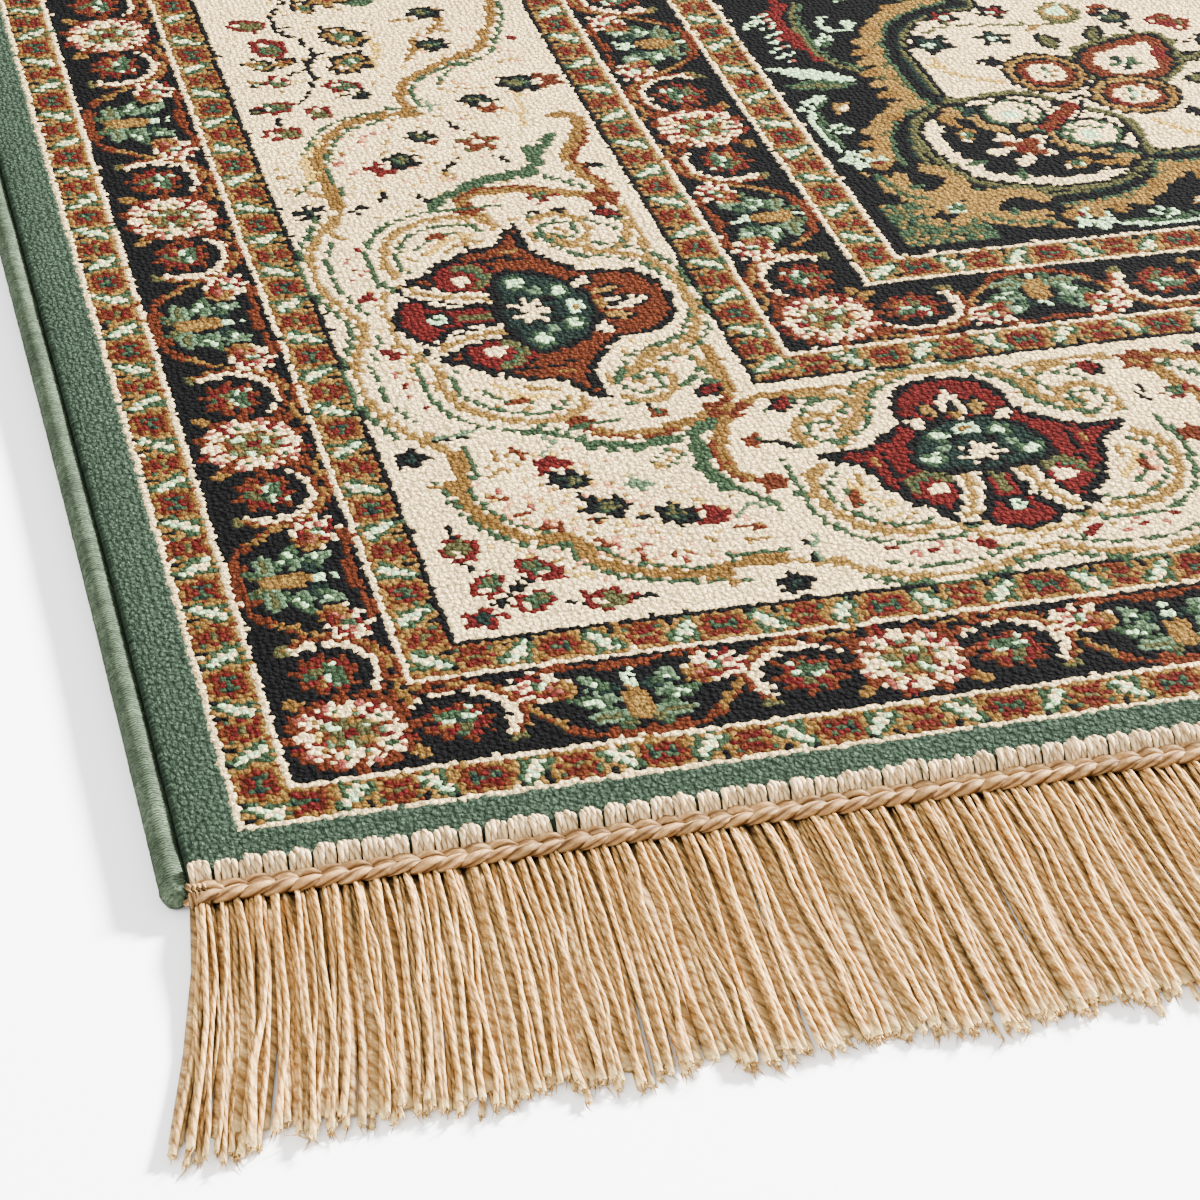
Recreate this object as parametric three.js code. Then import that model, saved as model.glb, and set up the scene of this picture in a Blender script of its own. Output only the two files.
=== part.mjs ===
// Oriental rug with a machine woven pile, lying flat.
// Millimetres, +Z up, X across the rug, Y along it, origin on the floor under the middle.
// The cloth is one solid. The two rolled side bindings, the two chain stitched heading braids
// and the two fringes are separate pieces that are fitted to its edges.

import * as THREE from 'three';

// Pile and ground cloth
const knotPitch = 2;
const knotsAcross = 792;
const knotsAlong = 1120;
const pileWidth = knotPitch * knotsAcross;
const pileLength = knotPitch * knotsAlong;
const rugThickness = 9;
const groundThickness = 2.4;
const bareEnd = 3.5;
const shoulder = 1.2;

// Pieces at the edges
const gap = 0.3;
const bindingWidth = 7.7;
const bindingHeight = 8.6;
const bindingFoot = 3.2;
const bindingPastCloth = 1.6;
const braidWidth = 6.6;
const braidHeight = 4.2;
const braidOverlap = 3.3;
const stripDepth = 6.2;
const stripThickness = 2.2;

// Fringe locks
const locksPerEnd = 120;
const lockReach = 90;
const lockClearance = 1.1;
const lockTipSlope = 2;
const backShare = 0.7;
const stripInset = 0.4;
const cornerSplay = 20;
const splayWidth = 70;
const swayMain = 2.4;
const swayMinor = 1.3;

// Gentle drift of the long sides, as a laid rug has
const driftMain = 1.2;
const driftMinor = 0.45;
const driftWaves = 3.5;
const stationsAlong = 36;

const halfWidth = pileWidth / 2;
const halfLength = pileLength / 2;
const clothEnd = halfLength + bareEnd;

function drift(y) {
  const along = (Math.PI * (y + clothEnd)) / clothEnd;
  return driftMain * Math.sin(along) + driftMinor * Math.sin(along * driftWaves);
}

// Closed skin over a stack of rings that all have the same number of points.
// The rings run anticlockwise as seen from the far end of the stack.
function loft(rings) {
  const sides = rings[0].length;
  const positions = rings.flat().flatMap((p) => [p.x, p.y, p.z]);
  const index = [];
  for (let r = 0; r + 1 < rings.length; r += 1) {
    for (let i = 0; i < sides; i += 1) {
      const a = r * sides + i;
      const b = r * sides + ((i + 1) % sides);
      index.push(a, b, a + sides);
      index.push(b, b + sides, a + sides);
    }
  }
  const last = (rings.length - 1) * sides;
  capFaces(rings[0]).forEach(([a, b, c]) => index.push(a, c, b));
  capFaces(rings[rings.length - 1]).forEach(([a, b, c]) => index.push(last + a, last + b, last + c));
  const geometry = new THREE.BufferGeometry();
  geometry.setAttribute('position', new THREE.Float32BufferAttribute(positions, 3));
  geometry.setIndex(index);
  return geometry;
}

// Faces that fill a ring, all turned the way that the ring runs
function capFaces(ring) {
  const normal = new THREE.Vector3();
  ring.forEach((p, i) => {
    const q = ring[(i + 1) % ring.length];
    normal.add(new THREE.Vector3().crossVectors(p, q));
  });
  const level = Math.abs(normal.z) > Math.abs(normal.y);
  const plan = ring.map((p) => new THREE.Vector2(p.x, level ? p.y : p.z));
  return THREE.ShapeUtils.triangulateShape(plan, []).map(([a, b, c]) => {
    const ab = new THREE.Vector3().subVectors(ring[b], ring[a]);
    const ac = new THREE.Vector3().subVectors(ring[c], ring[a]);
    return ab.cross(ac).dot(normal) > 0 ? [a, b, c] : [a, c, b];
  });
}

// Cloth: the ground weave shows bare for a short way at each end, the pile stands on the rest
function clothRing(z, inset, end) {
  const ring = [];
  for (let i = 0; i <= stationsAlong; i += 1) {
    const y = -end + (2 * end * i) / stationsAlong;
    ring.push(new THREE.Vector3(halfWidth - inset + drift(y), y, z));
  }
  for (let i = stationsAlong; i >= 0; i -= 1) {
    const y = -end + (2 * end * i) / stationsAlong;
    ring.push(new THREE.Vector3(-halfWidth + inset + drift(y), y, z));
  }
  return ring;
}

function clothGeometry() {
  return loft([
    clothRing(0, 0, clothEnd),
    clothRing(groundThickness, 0, clothEnd),
    clothRing(groundThickness, 0, halfLength),
    clothRing(rugThickness - shoulder, 0, halfLength),
    clothRing(rugThickness - shoulder * 0.3, shoulder * 0.3, halfLength - shoulder * 0.3),
    clothRing(rugThickness, shoulder, halfLength - shoulder),
  ]);
}

// Side binding: a cord wrapped round the selvedge, flat underneath, its ends turned under
function bindingRing(side, y, swell) {
  const centre = side * (halfWidth + gap + bindingWidth / 2) + drift(y);
  const sides = 12;
  const ring = [];
  for (let i = 0; i < sides; i += 1) {
    const turn = (2 * Math.PI * (i + 0.5)) / sides;
    const across = (bindingWidth / 2) * Math.sin(turn) * swell;
    const up = bindingHeight / 2 - (bindingHeight / 2) * Math.cos(turn) * swell;
    ring.push(new THREE.Vector3(centre + across, y, Math.max(0, up)));
  }
  // The lowest two points are spread into the flat that lies on the floor
  ring[0].x = centre + (bindingFoot / 2) * swell;
  ring[sides - 1].x = centre - (bindingFoot / 2) * swell;
  ring[0].z = (bindingHeight / 2) * (1 - swell);
  ring[sides - 1].z = ring[0].z;
  return ring;
}

function bindingGeometry(side) {
  const end = clothEnd + bindingPastCloth;
  const capStations = [
    { back: 0, swell: 0.45 },
    { back: 0.8, swell: 0.74 },
    { back: 2.2, swell: 0.93 },
    { back: 4.2, swell: 1 },
  ];
  const rings = capStations.map(({ back, swell }) => bindingRing(side, end - back, swell));
  for (let i = stationsAlong - 1; i >= 1; i -= 1) {
    rings.push(bindingRing(side, -clothEnd + (2 * clothEnd * i) / stationsAlong, 1));
  }
  capStations.reverse().forEach(({ back, swell }) => rings.push(bindingRing(side, back - end, swell)));
  return loft(rings);
}

// Heading braid: a rounded bar that lies over the seam between cloth and fringe
function braidGeometry(end) {
  const bar = new THREE.Shape();
  const centre = end * (clothEnd - braidOverlap + braidWidth / 2 + gap);
  const foot = groundThickness + gap;
  const bevel = braidHeight * 0.36;
  const outline = [
    [-braidWidth / 2 + bevel / 2, 0],
    [braidWidth / 2 - bevel / 2, 0],
    [braidWidth / 2, bevel * 0.8],
    [braidWidth / 2 - bevel * 0.25, braidHeight - bevel],
    [braidWidth / 2 - bevel, braidHeight],
    [-braidWidth / 2 + bevel, braidHeight],
    [-braidWidth / 2 + bevel * 0.25, braidHeight - bevel],
    [-braidWidth / 2, bevel * 0.8],
  ];
  outline.forEach(([across, up], i) => (i ? bar.lineTo(across, up) : bar.moveTo(across, up)));
  bar.closePath();
  const length = pileWidth - 1.2;
  const geometry = new THREE.ExtrudeGeometry(bar, { depth: length, bevelEnabled: false, steps: 1 });
  geometry.rotateX(Math.PI / 2);
  geometry.rotateZ(Math.PI / 2);
  geometry.translate(-length / 2, centre, foot);
  return geometry;
}

// Fringe: a narrow strip under the braid and the locks that run out of it, level on the floor.
// Each lock has four sides: its foot, its back, and two that lean in to a narrower back.
const lockStations = [
  { along: 0, width: 1, height: 1, lean: 0 },
  { along: 0.5, width: 0.97, height: 0.95, lean: 0.34 },
  { along: 1, width: 0.82, height: 0.55, lean: 1 },
];

function lockSide(x, end, order, side, back) {
  const pitch = pileWidth / locksPerEnd;
  const nearCorner = Math.exp((Math.abs(x) - halfWidth) / splayWidth);
  const splay = Math.sign(x) * cornerSplay * nearCorner;
  const waver = swayMain * Math.sin(x / 97 + end) + swayMinor * Math.sin(x / 41 + 2 * end);
  const sway = waver * (1 - nearCorner);
  const reach = lockReach * (1 - 0.03 * Math.sin(order * 2.4 + end) ** 2);
  const root = clothEnd + gap + stripDepth;
  return lockStations.map(({ along, width, height, lean }) => {
    const half = ((pitch - lockClearance) * width * (back ? backShare : 1)) / 2;
    const bottom = root + reach * along;
    const y = end * (back ? bottom - lockTipSlope * along : bottom);
    return new THREE.Vector3(x + (splay + sway) * lean + side * half, y, back ? stripThickness * height : 0);
  });
}

function fringeRing(end, back) {
  const pitch = pileWidth / locksPerEnd;
  const stripEdge = halfWidth - stripInset;
  const z = back ? stripThickness : 0;
  const near = end * (clothEnd + gap);
  const ring = [
    new THREE.Vector3(stripEdge, near, z),
    new THREE.Vector3(-stripEdge, near, z),
  ];
  for (let i = 0; i < locksPerEnd; i += 1) {
    const x = -halfWidth + pitch * (i + 0.5);
    ring.push(...lockSide(x, end, i, -1, back));
    ring.push(...lockSide(x, end, i, 1, back).reverse());
  }
  return end > 0 ? ring.reverse() : ring;
}

function fringeGeometry(end) {
  return loft([fringeRing(end, false), fringeRing(end, true)]);
}

const yarns = {
  pile: new THREE.MeshStandardMaterial({ color: 0x4a7359, roughness: 0.95, metalness: 0 }),
  binding: new THREE.MeshStandardMaterial({ color: 0xa3b596, roughness: 0.85, metalness: 0 }),
  braid: new THREE.MeshStandardMaterial({ color: 0xc9a57a, roughness: 0.85, metalness: 0 }),
  fringe: new THREE.MeshStandardMaterial({ color: 0xd2a870, roughness: 0.8, metalness: 0 }),
};

function piece(name, geometry, material) {
  const mesh = new THREE.Mesh(geometry, material);
  mesh.name = name;
  return mesh;
}

const group = new THREE.Group();
group.add(
  piece('rug_cloth', clothGeometry(), yarns.pile),
  piece('side_binding_left', bindingGeometry(-1), yarns.binding),
  piece('side_binding_right', bindingGeometry(1), yarns.binding),
  piece('heading_braid_front', braidGeometry(-1), yarns.braid),
  piece('heading_braid_back', braidGeometry(1), yarns.braid),
  piece('fringe_front', fringeGeometry(-1), yarns.fringe),
  piece('fringe_back', fringeGeometry(1), yarns.fringe),
);

export default group;
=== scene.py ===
from math import cos, pi, radians, sin

import bpy
import numpy as np
from mathutils import Matrix, Vector


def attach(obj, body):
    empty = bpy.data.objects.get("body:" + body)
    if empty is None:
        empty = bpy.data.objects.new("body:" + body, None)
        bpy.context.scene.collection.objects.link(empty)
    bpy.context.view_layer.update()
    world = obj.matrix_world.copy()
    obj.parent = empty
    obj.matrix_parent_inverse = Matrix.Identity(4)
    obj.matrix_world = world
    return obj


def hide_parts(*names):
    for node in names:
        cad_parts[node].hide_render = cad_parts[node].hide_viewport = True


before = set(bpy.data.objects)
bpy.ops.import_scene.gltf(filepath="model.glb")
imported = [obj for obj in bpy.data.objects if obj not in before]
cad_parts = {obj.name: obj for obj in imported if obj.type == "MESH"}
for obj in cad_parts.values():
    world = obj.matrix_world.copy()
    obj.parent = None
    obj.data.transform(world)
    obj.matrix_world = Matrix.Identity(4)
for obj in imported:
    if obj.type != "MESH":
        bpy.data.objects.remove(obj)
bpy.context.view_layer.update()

bpy.ops.object.select_all(action="DESELECT")
scene = bpy.context.scene
mm = 0.001

# Camera, solved from the border lines in the photograph
view = {
    "place": (-0.88090, -1.85169, 0.56278),
    "right": (0.96740, -0.25271, 0.01636),
    "down": (-0.12281, -0.52467, -0.84240),
    "forward": (0.22147, 0.81294, -0.53860),
    "lens": 104.64,
}

# Studio light: a lamp low on the right, behind, a weak one in front, and a pale room
studio = {
    "floorColour": (0.95, 0.95, 0.95),
    "keyPlace": (3.0, 0.4, 1.75),
    "keyAim": (-0.3, -0.9, 0.0),
    "keySize": 0.7,
    "keyPower": 2900,
    "fillPlace": (-2.4, -2.6, 2.2),
    "fillAim": (-0.3, -0.9, 0.0),
    "fillSize": 2.6,
    "fillPower": 160,
    "room": 1.9,
}


def makeCamera():
    data = bpy.data.cameras.new("camera")
    data.sensor_width = 36
    data.lens = view["lens"]
    data.clip_start = 0.05
    camera = bpy.data.objects.new("camera", data)
    scene.collection.objects.link(camera)
    turn = Matrix((view["right"], [-v for v in view["down"]], [-v for v in view["forward"]])).transposed()
    camera.matrix_world = Matrix.Translation(view["place"]) @ turn.to_4x4()
    scene.camera = camera


def makeLamp(name, place, aim, size, power):
    data = bpy.data.lights.new(name, "AREA")
    data.shape = "DISK"
    data.size = size
    data.energy = power
    lamp = bpy.data.objects.new(name, data)
    scene.collection.objects.link(lamp)
    lamp.location = place
    lamp.rotation_euler = (Vector(aim) - Vector(place)).to_track_quat("-Z", "Y").to_euler()


def makeStudio():
    bpy.ops.mesh.primitive_plane_add(size=30, location=(0, 0, 0))
    floor = bpy.context.object
    floor.name = "floor"
    paint = bpy.data.materials.new("paleFloor")
    paint.use_nodes = True
    shader = paint.node_tree.nodes["Principled BSDF"]
    shader.inputs["Base Color"].default_value = (*studio["floorColour"], 1)
    shader.inputs["Roughness"].default_value = 0.9
    shader.inputs["Specular IOR Level"].default_value = 0.1
    floor.data.materials.append(paint)
    makeLamp("keyLamp", studio["keyPlace"], studio["keyAim"], studio["keySize"], studio["keyPower"])
    makeLamp("fillLamp", studio["fillPlace"], studio["fillAim"], studio["fillSize"], studio["fillPower"])
    world = bpy.data.worlds.new("room")
    world.use_nodes = True
    world.node_tree.nodes["Background"].inputs["Color"].default_value = (1, 1, 1, 1)
    world.node_tree.nodes["Background"].inputs["Strength"].default_value = studio["room"]
    scene.world = world


makeCamera()
makeStudio()
print("camera and studio are set")

# Yarn colours of the pile, by the letters that the charts use
yarn = {
    "k": ("navy", (0.0020, 0.0020, 0.0021)),
    "i": ("ivory", (0.4584, 0.3366, 0.1636)),
    "r": ("rust", (0.0382, 0.0085, 0.0029)),
    "b": ("brick", (0.0369, 0.0035, 0.0029)),
    "o": ("gold", (0.0774, 0.0389, 0.0084)),
    "t": ("tan", (0.1047, 0.0578, 0.0132)),
    "g": ("green", (0.0135, 0.0248, 0.0117)),
    "d": ("deepGreen", (0.0039, 0.0077, 0.0059)),
    "l": ("olive", (0.0290, 0.0282, 0.0099)),
    "w": ("mint", (0.2582, 0.3731, 0.1958)),
    "p": ("pink", (0.1165, 0.0290, 0.0197)),
    "s": ("sage", (0.0414, 0.0673, 0.0349)),
    "f": ("faintTan", (0.2797, 0.1725, 0.0354)),
    "e": ("edgeGreen", (0.0187, 0.0303, 0.0193)),
    "n": ("black", (0.0020, 0.0020, 0.0020)),
    "m": ("blush", (0.3336, 0.1406, 0.0671)),
}
inkOf = {letter: n for n, letter in enumerate(yarn)}

cols, rows = 396, 560      # one quarter of the rug, in knots, from the corner to the middle

# Stripes of the border from the rug's edge inwards: the width in knots, and the yarn of the ground
stripes = [
    (8, "e"),      # plain band
    (1, "i"),
    (7, "o"),      # guard
    (1, "i"),
    (20, "k"),     # navy border
    (1, "i"),
    (7, "o"),      # guard
    (1, "n"),
    (64, "i"),     # main border
    (1, "n"),
    (7, "o"),      # guard
    (1, "i"),
    (20, "k"),     # navy border
    (1, "i"),
    (7, "o"),      # guard
    (1, "i"),
]
fieldEdge = sum(width for width, ink in stripes)

chart = np.zeros((rows, cols), dtype=np.uint8)
dice = np.random.default_rng(11)


# A place on the chart: its origin in knots, the way that runs along the border, the way inwards, and the
# stretch of what is drawn there along the border
def placeAt(x, y, along, inward, stretch=1.0):
    return {"x": x, "y": y, "along": along, "inward": inward, "stretch": stretch}


# The same place seen the other way along the border
def flipped(place):
    ax, ay = place["along"]
    return dict(place, along=(-ax, -ay))


def moved(place, a, b):
    (ax, ay), (bx, by) = place["along"], place["inward"]
    a = a * place["stretch"]
    return dict(place, x=place["x"] + a * ax + b * bx, y=place["y"] + a * ay + b * by)


def turned(place, degrees):
    (ax, ay), (bx, by) = place["along"], place["inward"]
    c, s = cos(radians(degrees)), sin(radians(degrees))
    along, inward = (c * ax + s * bx, c * ay + s * by), (c * bx - s * ax, c * by - s * ay)
    return dict(place, along=along, inward=inward, stretch=1.0)


# The part of the chart round a point, with each knot's distance along and inwards from it
def window(place, reach):
    reach = reach * max(1.0, place["stretch"])
    x0, x1 = max(0, int(place["x"] - reach)), min(cols, int(place["x"] + reach) + 2)
    y0, y1 = max(0, int(place["y"] - reach)), min(rows, int(place["y"] + reach) + 2)
    if x0 >= x1 or y0 >= y1:
        return None
    dx = np.arange(x0, x1)[None, :] + 0.5 - place["x"]
    dy = np.arange(y0, y1)[:, None] + 0.5 - place["y"]
    (ax, ay), (bx, by) = place["along"], place["inward"]
    return chart[y0:y1, x0:x1], (dx * ax + dy * ay) / place["stretch"], dx * bx + dy * by


def oval(place, rx, ry, ink):
    seen = window(place, max(rx, ry) + 1)
    if seen:
        part, a, b = seen
        part[(a / rx) ** 2 + (b / ry) ** 2 <= 1] = inkOf[ink]


# A flower outline whose radius swings round its mean
def lobed(place, radius, swing, count, ink, turn=0.0, squash=1.0):
    seen = window(place, radius + swing + 1)
    if seen:
        part, a, b = seen
        angle = np.arctan2(b / squash, a)
        edge = radius + swing * np.cos(count * angle + turn)
        part[np.hypot(a, b / squash) <= edge] = inkOf[ink]


# A leaf or petal from its foot at the place towards its tip along a
def leaf(place, length, width, ink, belly=0.5):
    seen = window(place, length + 1)
    if seen:
        part, a, b = seen
        t = np.clip(a / length, 0, 1)
        half = width / 2 * np.sin(pi * t ** (np.log(0.5) / np.log(belly))) ** 0.8
        part[(a >= 0) & (a <= length) & (np.abs(b) <= half)] = inkOf[ink]


# A smooth line through a few points
def smooth(points, closed=False, step=0.5):
    p = np.array(points, dtype=float)
    if closed:
        p = np.vstack([p[-1], p, p[0], p[1]])
    else:
        p = np.vstack([2 * p[0] - p[1], p, 2 * p[-1] - p[-2]])
    pieces = []
    for k in range(1, len(p) - 2):
        n = max(2, int(np.hypot(*(p[k + 1] - p[k])) / step))
        t = (np.arange(n) / n)[:, None]
        p0, p1, p2, p3 = p[k - 1], p[k], p[k + 1], p[k + 2]
        pieces.append(0.5 * (2 * p1 + (p2 - p0) * t + (2 * p0 - 5 * p1 + 4 * p2 - p3) * t ** 2
                             + (3 * p1 - p0 - 3 * p2 + p3) * t ** 3))
    if not closed:
        pieces.append(p[-2:-1])
    return np.vstack(pieces)


# Points given along and inwards from a place, in knots of the chart
def onChart(place, points):
    a, b = points[:, 0] * place["stretch"], points[:, 1]
    (ax, ay), (bx, by) = place["along"], place["inward"]
    return np.stack([place["x"] + a * ax + b * bx, place["y"] + a * ay + b * by], axis=1)


def boxOf(line, reach):
    x0, y0 = np.floor(line.min(axis=0) - reach).astype(int)
    x1, y1 = np.ceil(line.max(axis=0) + reach).astype(int) + 1
    return max(0, x0), min(cols, x1), max(0, y0), min(rows, y1)


# A drawn line, thick at one end and thin at the other where two widths are given
def stroke(place, points, ink, width=1.2, tip=None, closed=False):
    line = onChart(place, smooth(points, closed))
    x0, x1, y0, y1 = boxOf(line, width)
    if x0 >= x1 or y0 >= y1:
        return
    half = np.linspace(width, width if tip is None else tip, len(line)) / 2
    gx = np.arange(x0, x1)[None, :, None] + 0.5
    gy = np.arange(y0, y1)[:, None, None] + 0.5
    near = (np.hypot(gx - line[:, 0], gy - line[:, 1]) - half).min(axis=2)
    chart[y0:y1, x0:x1][near <= 0] = inkOf[ink]


# Knots inside a closed line, by counting how often the line crosses each row before them
def insideOf(line, box):
    x0, x1, y0, y1 = box
    xa, ya = line[:, 0] - x0, line[:, 1] - y0
    xb, yb = np.roll(xa, -1), np.roll(ya, -1)
    rowA, rowB = np.floor(ya - 0.5).astype(int), np.floor(yb - 0.5).astype(int)
    crossings = np.zeros((y1 - y0, x1 - x0 + 1), dtype=int)
    for extra in range(1, 4):
        row = np.minimum(rowA, rowB) + extra
        met = (row <= np.maximum(rowA, rowB)) & (row >= 0) & (row < y1 - y0)
        t = (row[met] + 0.5 - ya[met]) / (yb - ya)[met]
        column = np.ceil(xa[met] + t * (xb - xa)[met] - 0.5)
        np.add.at(crossings, (row[met], np.clip(column, 0, x1 - x0).astype(int)), 1)
    return np.cumsum(crossings, axis=1)[:, :-1] % 2 == 1


# A filled shape inside a smooth closed line, with an optional outline
def patch(place, points, ink, edge=None, edgeWidth=1.6):
    line = onChart(place, smooth(points, True))
    x0, x1, y0, y1 = boxOf(line, 1)
    if x0 < x1 and y0 < y1:
        chart[y0:y1, x0:x1][insideOf(line, (x0, x1, y0, y1))] = inkOf[ink]
    if edge:
        stroke(place, points, edge, edgeWidth, closed=True)


inside = 999               # a distance that no knot reaches: the last band takes all that is left
runPoints = 24             # a line's points are looked at in runs of so many


# Stripes that follow a closed line, each from one distance to another, inwards positive
def bands(place, points, layers):
    line = onChart(place, smooth(points, True))
    reach = max(abs(layer[1]) for layer in layers if layer[1] < inside) + 9
    x0, x1, y0, y1 = boxOf(line, reach)
    away = np.full((y1 - y0, x1 - x0), 99.0)
    for start in range(0, len(line), runPoints):
        run = line[start:start + runPoints + 1]
        u0, u1, v0, v1 = boxOf(run, reach)
        if u0 < u1 and v0 < v1:
            gx = np.arange(u0, u1)[None, :, None] + 0.5
            gy = np.arange(v0, v1)[:, None, None] + 0.5
            near = np.hypot(gx - run[:, 0], gy - run[:, 1]).min(axis=2)
            part = away[v0 - y0:v1 - y0, u0 - x0:u1 - x0]
            part[:] = np.minimum(part, near)
    away[~insideOf(line, (x0, x1, y0, y1))] *= -1
    for low, high, ink in layers:
        chart[y0:y1, x0:x1][(away >= low) & (away < high)] = inkOf[ink]


# Loose knots of colour strewn in an oval, over the ivory ground only
def fleck(place, rx, ry, inks, share):
    seen = window(place, max(rx, ry) + 1)
    if seen:
        part, a, b = seen
        ground = ((a / rx) ** 2 + (b / ry) ** 2 <= 1) & (part == inkOf["i"])
        picked = ground & (dice.random(part.shape) < share)
        part[picked] = dice.choice([inkOf[c] for c in inks], size=int(picked.sum()))


# Guard stripe, charted for half a repeat: the green hearted rosette, a slanting leaf and the plain rosette
guardChart = [
    "totrogogoorot",
    "rbrotggiwgtbr",
    "bgrotgiwggorb",
    "gdbrogwigtbol",
    "bgrogiwgotorb",
    "rbrogwgokogbr",
    "orotkgotkoror",
]
guardRepeat = 25           # knots from one green hearted rosette to the next


def paintGuard(edge, start, plainFirst, dotsOutward):
    deep, lastColumn = len(guardChart), len(guardChart[0]) - 1
    for length, across in ((cols, False), (rows, True)):
        halves = round((length - start) / (guardRepeat / 2))
        pitch = (length - start) / halves
        # Where the green hearted rosettes stand, counted in halves from the corner
        at = np.arange(edge, length)
        halfCount = (at + 0.5 - start) / pitch + (1 if plainFirst else 0)
        fold = np.abs(halfCount / 2 - np.round(halfCount / 2)) * 2
        column = np.minimum((fold * (lastColumn + 0.99)).astype(int), lastColumn)
        for n, row in enumerate(guardChart if dotsOutward else guardChart[::-1]):
            inks = np.array([inkOf[c] for c in row])[column]
            b = edge + deep - 1 - n
            if across:
                chart[at, b] = inks
            else:
                keep = at > b
                chart[b, at[keep]] = inks[keep]


def paintStripes():
    edge = 0
    for width, ink in stripes:
        chart[edge:, edge:] = inkOf[ink]
        edge += width
    chart[edge:, edge:] = inkOf["k"]


# Navy border: rosette, crescent with a bud, slanting bud, side palmette, then the same mirrored
def rosette(place):
    lobed(place, 9, 1.3, 10, "r", squash=0.94)
    for n in range(10):
        spot = turned(place, 36 * n + 18)
        oval(moved(spot, 6.2, 0), 2.3, 1.6, "i")
        oval(moved(spot, 6, 0), 0.6, 0.5, "g" if n % 2 else "o")
        oval(moved(spot, 4.6, 0), 0.9, 0.7, "f" if n % 2 else "s")
    for n in range(10):
        spot = turned(place, 36 * n)
        stroke(spot, [(4, 0), (8.6, 0)], "b" if n % 2 else "r", 1)
        spot = turned(place, 36 * n + 18)
        oval(moved(spot, 7.4, 0), 0.7, 0.5, "p")
    lobed(place, 3.6, 0.5, 6, "l")
    for n in range(6):
        oval(moved(turned(place, 60 * n + 12), 2.7, 0), 1, 0.8, "w" if n % 2 else "o")
    oval(place, 1.5, 1.4, "b")
    oval(place, 0.7, 0.7, "g")


def crescentBud(place):
    # Seen from the rosette: the bow opens back to it on the outer side
    lobed(place, 4.7, 1.1, 9, "r", squash=0.9)
    lobed(place, 3.9, 0.8, 7, "b", turn=1, squash=0.86)
    for a, b, rx, ry, ink in (
            (0.8, 0.6, 2.4, 1.9, "g"), (-1.6, 1.6, 1.3, 1, "g"), (-2.8, 1, 0.7, 0.7, "s"),
            (2.4, 2.8, 0.8, 0.6, "w"), (-0.4, -2.8, 1, 0.6, "g"), (1, -1.6, 1.3, 0.9, "l"),
            (-1, 0.2, 0.9, 0.8, "w"), (1.6, 1.2, 0.8, 0.7, "w"), (-2.2, -1, 0.9, 0.8, "o"),
            (0.4, 0, 0.7, 0.6, "d")):
        oval(moved(place, a, b), rx, ry, ink)
    bow = [(8.0 * cos(radians(t)), 7.4 * sin(radians(t))) for t in range(-30, 136, 15)]
    stroke(place, [(1.14 * a, 1.14 * b) for a, b in bow], "r", 1.3, 1)
    stroke(place, [(1.25 * a, 1.22 * b) for a, b in bow[4:9]], "o", 0.9)
    stroke(place, bow, "i", 1.5, 0.9)


def slantBud(place):
    spot = turned(place, -24)
    lobed(spot, 4.6, 0.9, 9, "i", squash=0.72)
    oval(moved(spot, 1.8, 0), 3.2, 2.4, "o")
    oval(moved(spot, 2.4, -0.8), 2, 1.3, "r")
    for n in (-1, 0, 1):
        stroke(spot, [(-3.6, 1.6 * n), (-0.4, 1.9 * n), (2.2, 1.5 * n)], "b" if n else "p", 0.9)
    oval(moved(spot, -0.4, 0.2), 1.3, 1, "w")
    oval(moved(spot, -0.6, 0.1), 0.7, 0.6, "g")


def sidePalmette(place):
    for side in (place, flipped(place)):
        for turn, length, width, ink in ((66, 8, 3.4, "s"), (30, 8.4, 3, "g"), (-4, 7.6, 2.8, "s"),
                                         (-36, 6.8, 2.6, "g")):
            leaf(moved(turned(side, turn), 1.2, -3.4), length, width, ink)
            leaf(moved(turned(side, turn), 2.6, -3.4), length - 3, width * 0.42, "w" if turn > 0 else "l")
        oval(moved(side, 3.6, 3.2), 2.2, 1.5, "d")
        oval(moved(side, 4, 3.6), 1.1, 0.8, "g")
        oval(moved(side, 5.2, -6.6), 1, 0.7, "r")
    leaf(moved(turned(place, 90), -6.4, 0), 10.4, 4.6, "o", belly=0.45)
    leaf(moved(turned(place, 90), -4.6, 0), 6, 2, "t", belly=0.45)
    oval(moved(place, 0, -6.2), 1.5, 1.3, "k")
    oval(moved(place, 0, -6.4), 0.7, 0.7, "w")
    oval(moved(place, 0, 4.8), 1.3, 2.2, "w")
    oval(moved(place, 0, 5.4), 0.7, 0.9, "n")


def navyVine(place, half):
    # One vine swings from each crescent over the bud to the palmette
    stroke(place, [(11, 9), (16.5, 9.4), (22, 6.2), (25, 1), (28.4, -4.2), (33, -8.2), (half, -9.2)],
           "r", 1.5)
    stroke(place, [(24, 2.8), (27, -2), (30, -5.6)], "o", 1)
    stroke(place, [(5.5, 9.4), (9.6, 8.4), (12, 9.2)], "o", 1.1)
    for a, b, turn, ink in ((10.5, -7.8, 150, "o"), (21, -7.2, 35, "l"), (22.6, -6, 70, "o"),
                            (9.4, 8, 200, "r"), (33.5, 8.2, 160, "r"), (36.6, 7.4, 20, "r")):
        leaf(turned(moved(place, a, b), turn), 4.4, 2.2, ink)
    stroke(place, [(27, 8.6), (31, 9), (36, 8.6), (half, 7.9)], "r", 1)


navyMiddle = 10            # knots from the navy border's edge to its middle line
navyHalfRepeat = 41        # knots from a rosette to the side palmette after it, about


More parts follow.
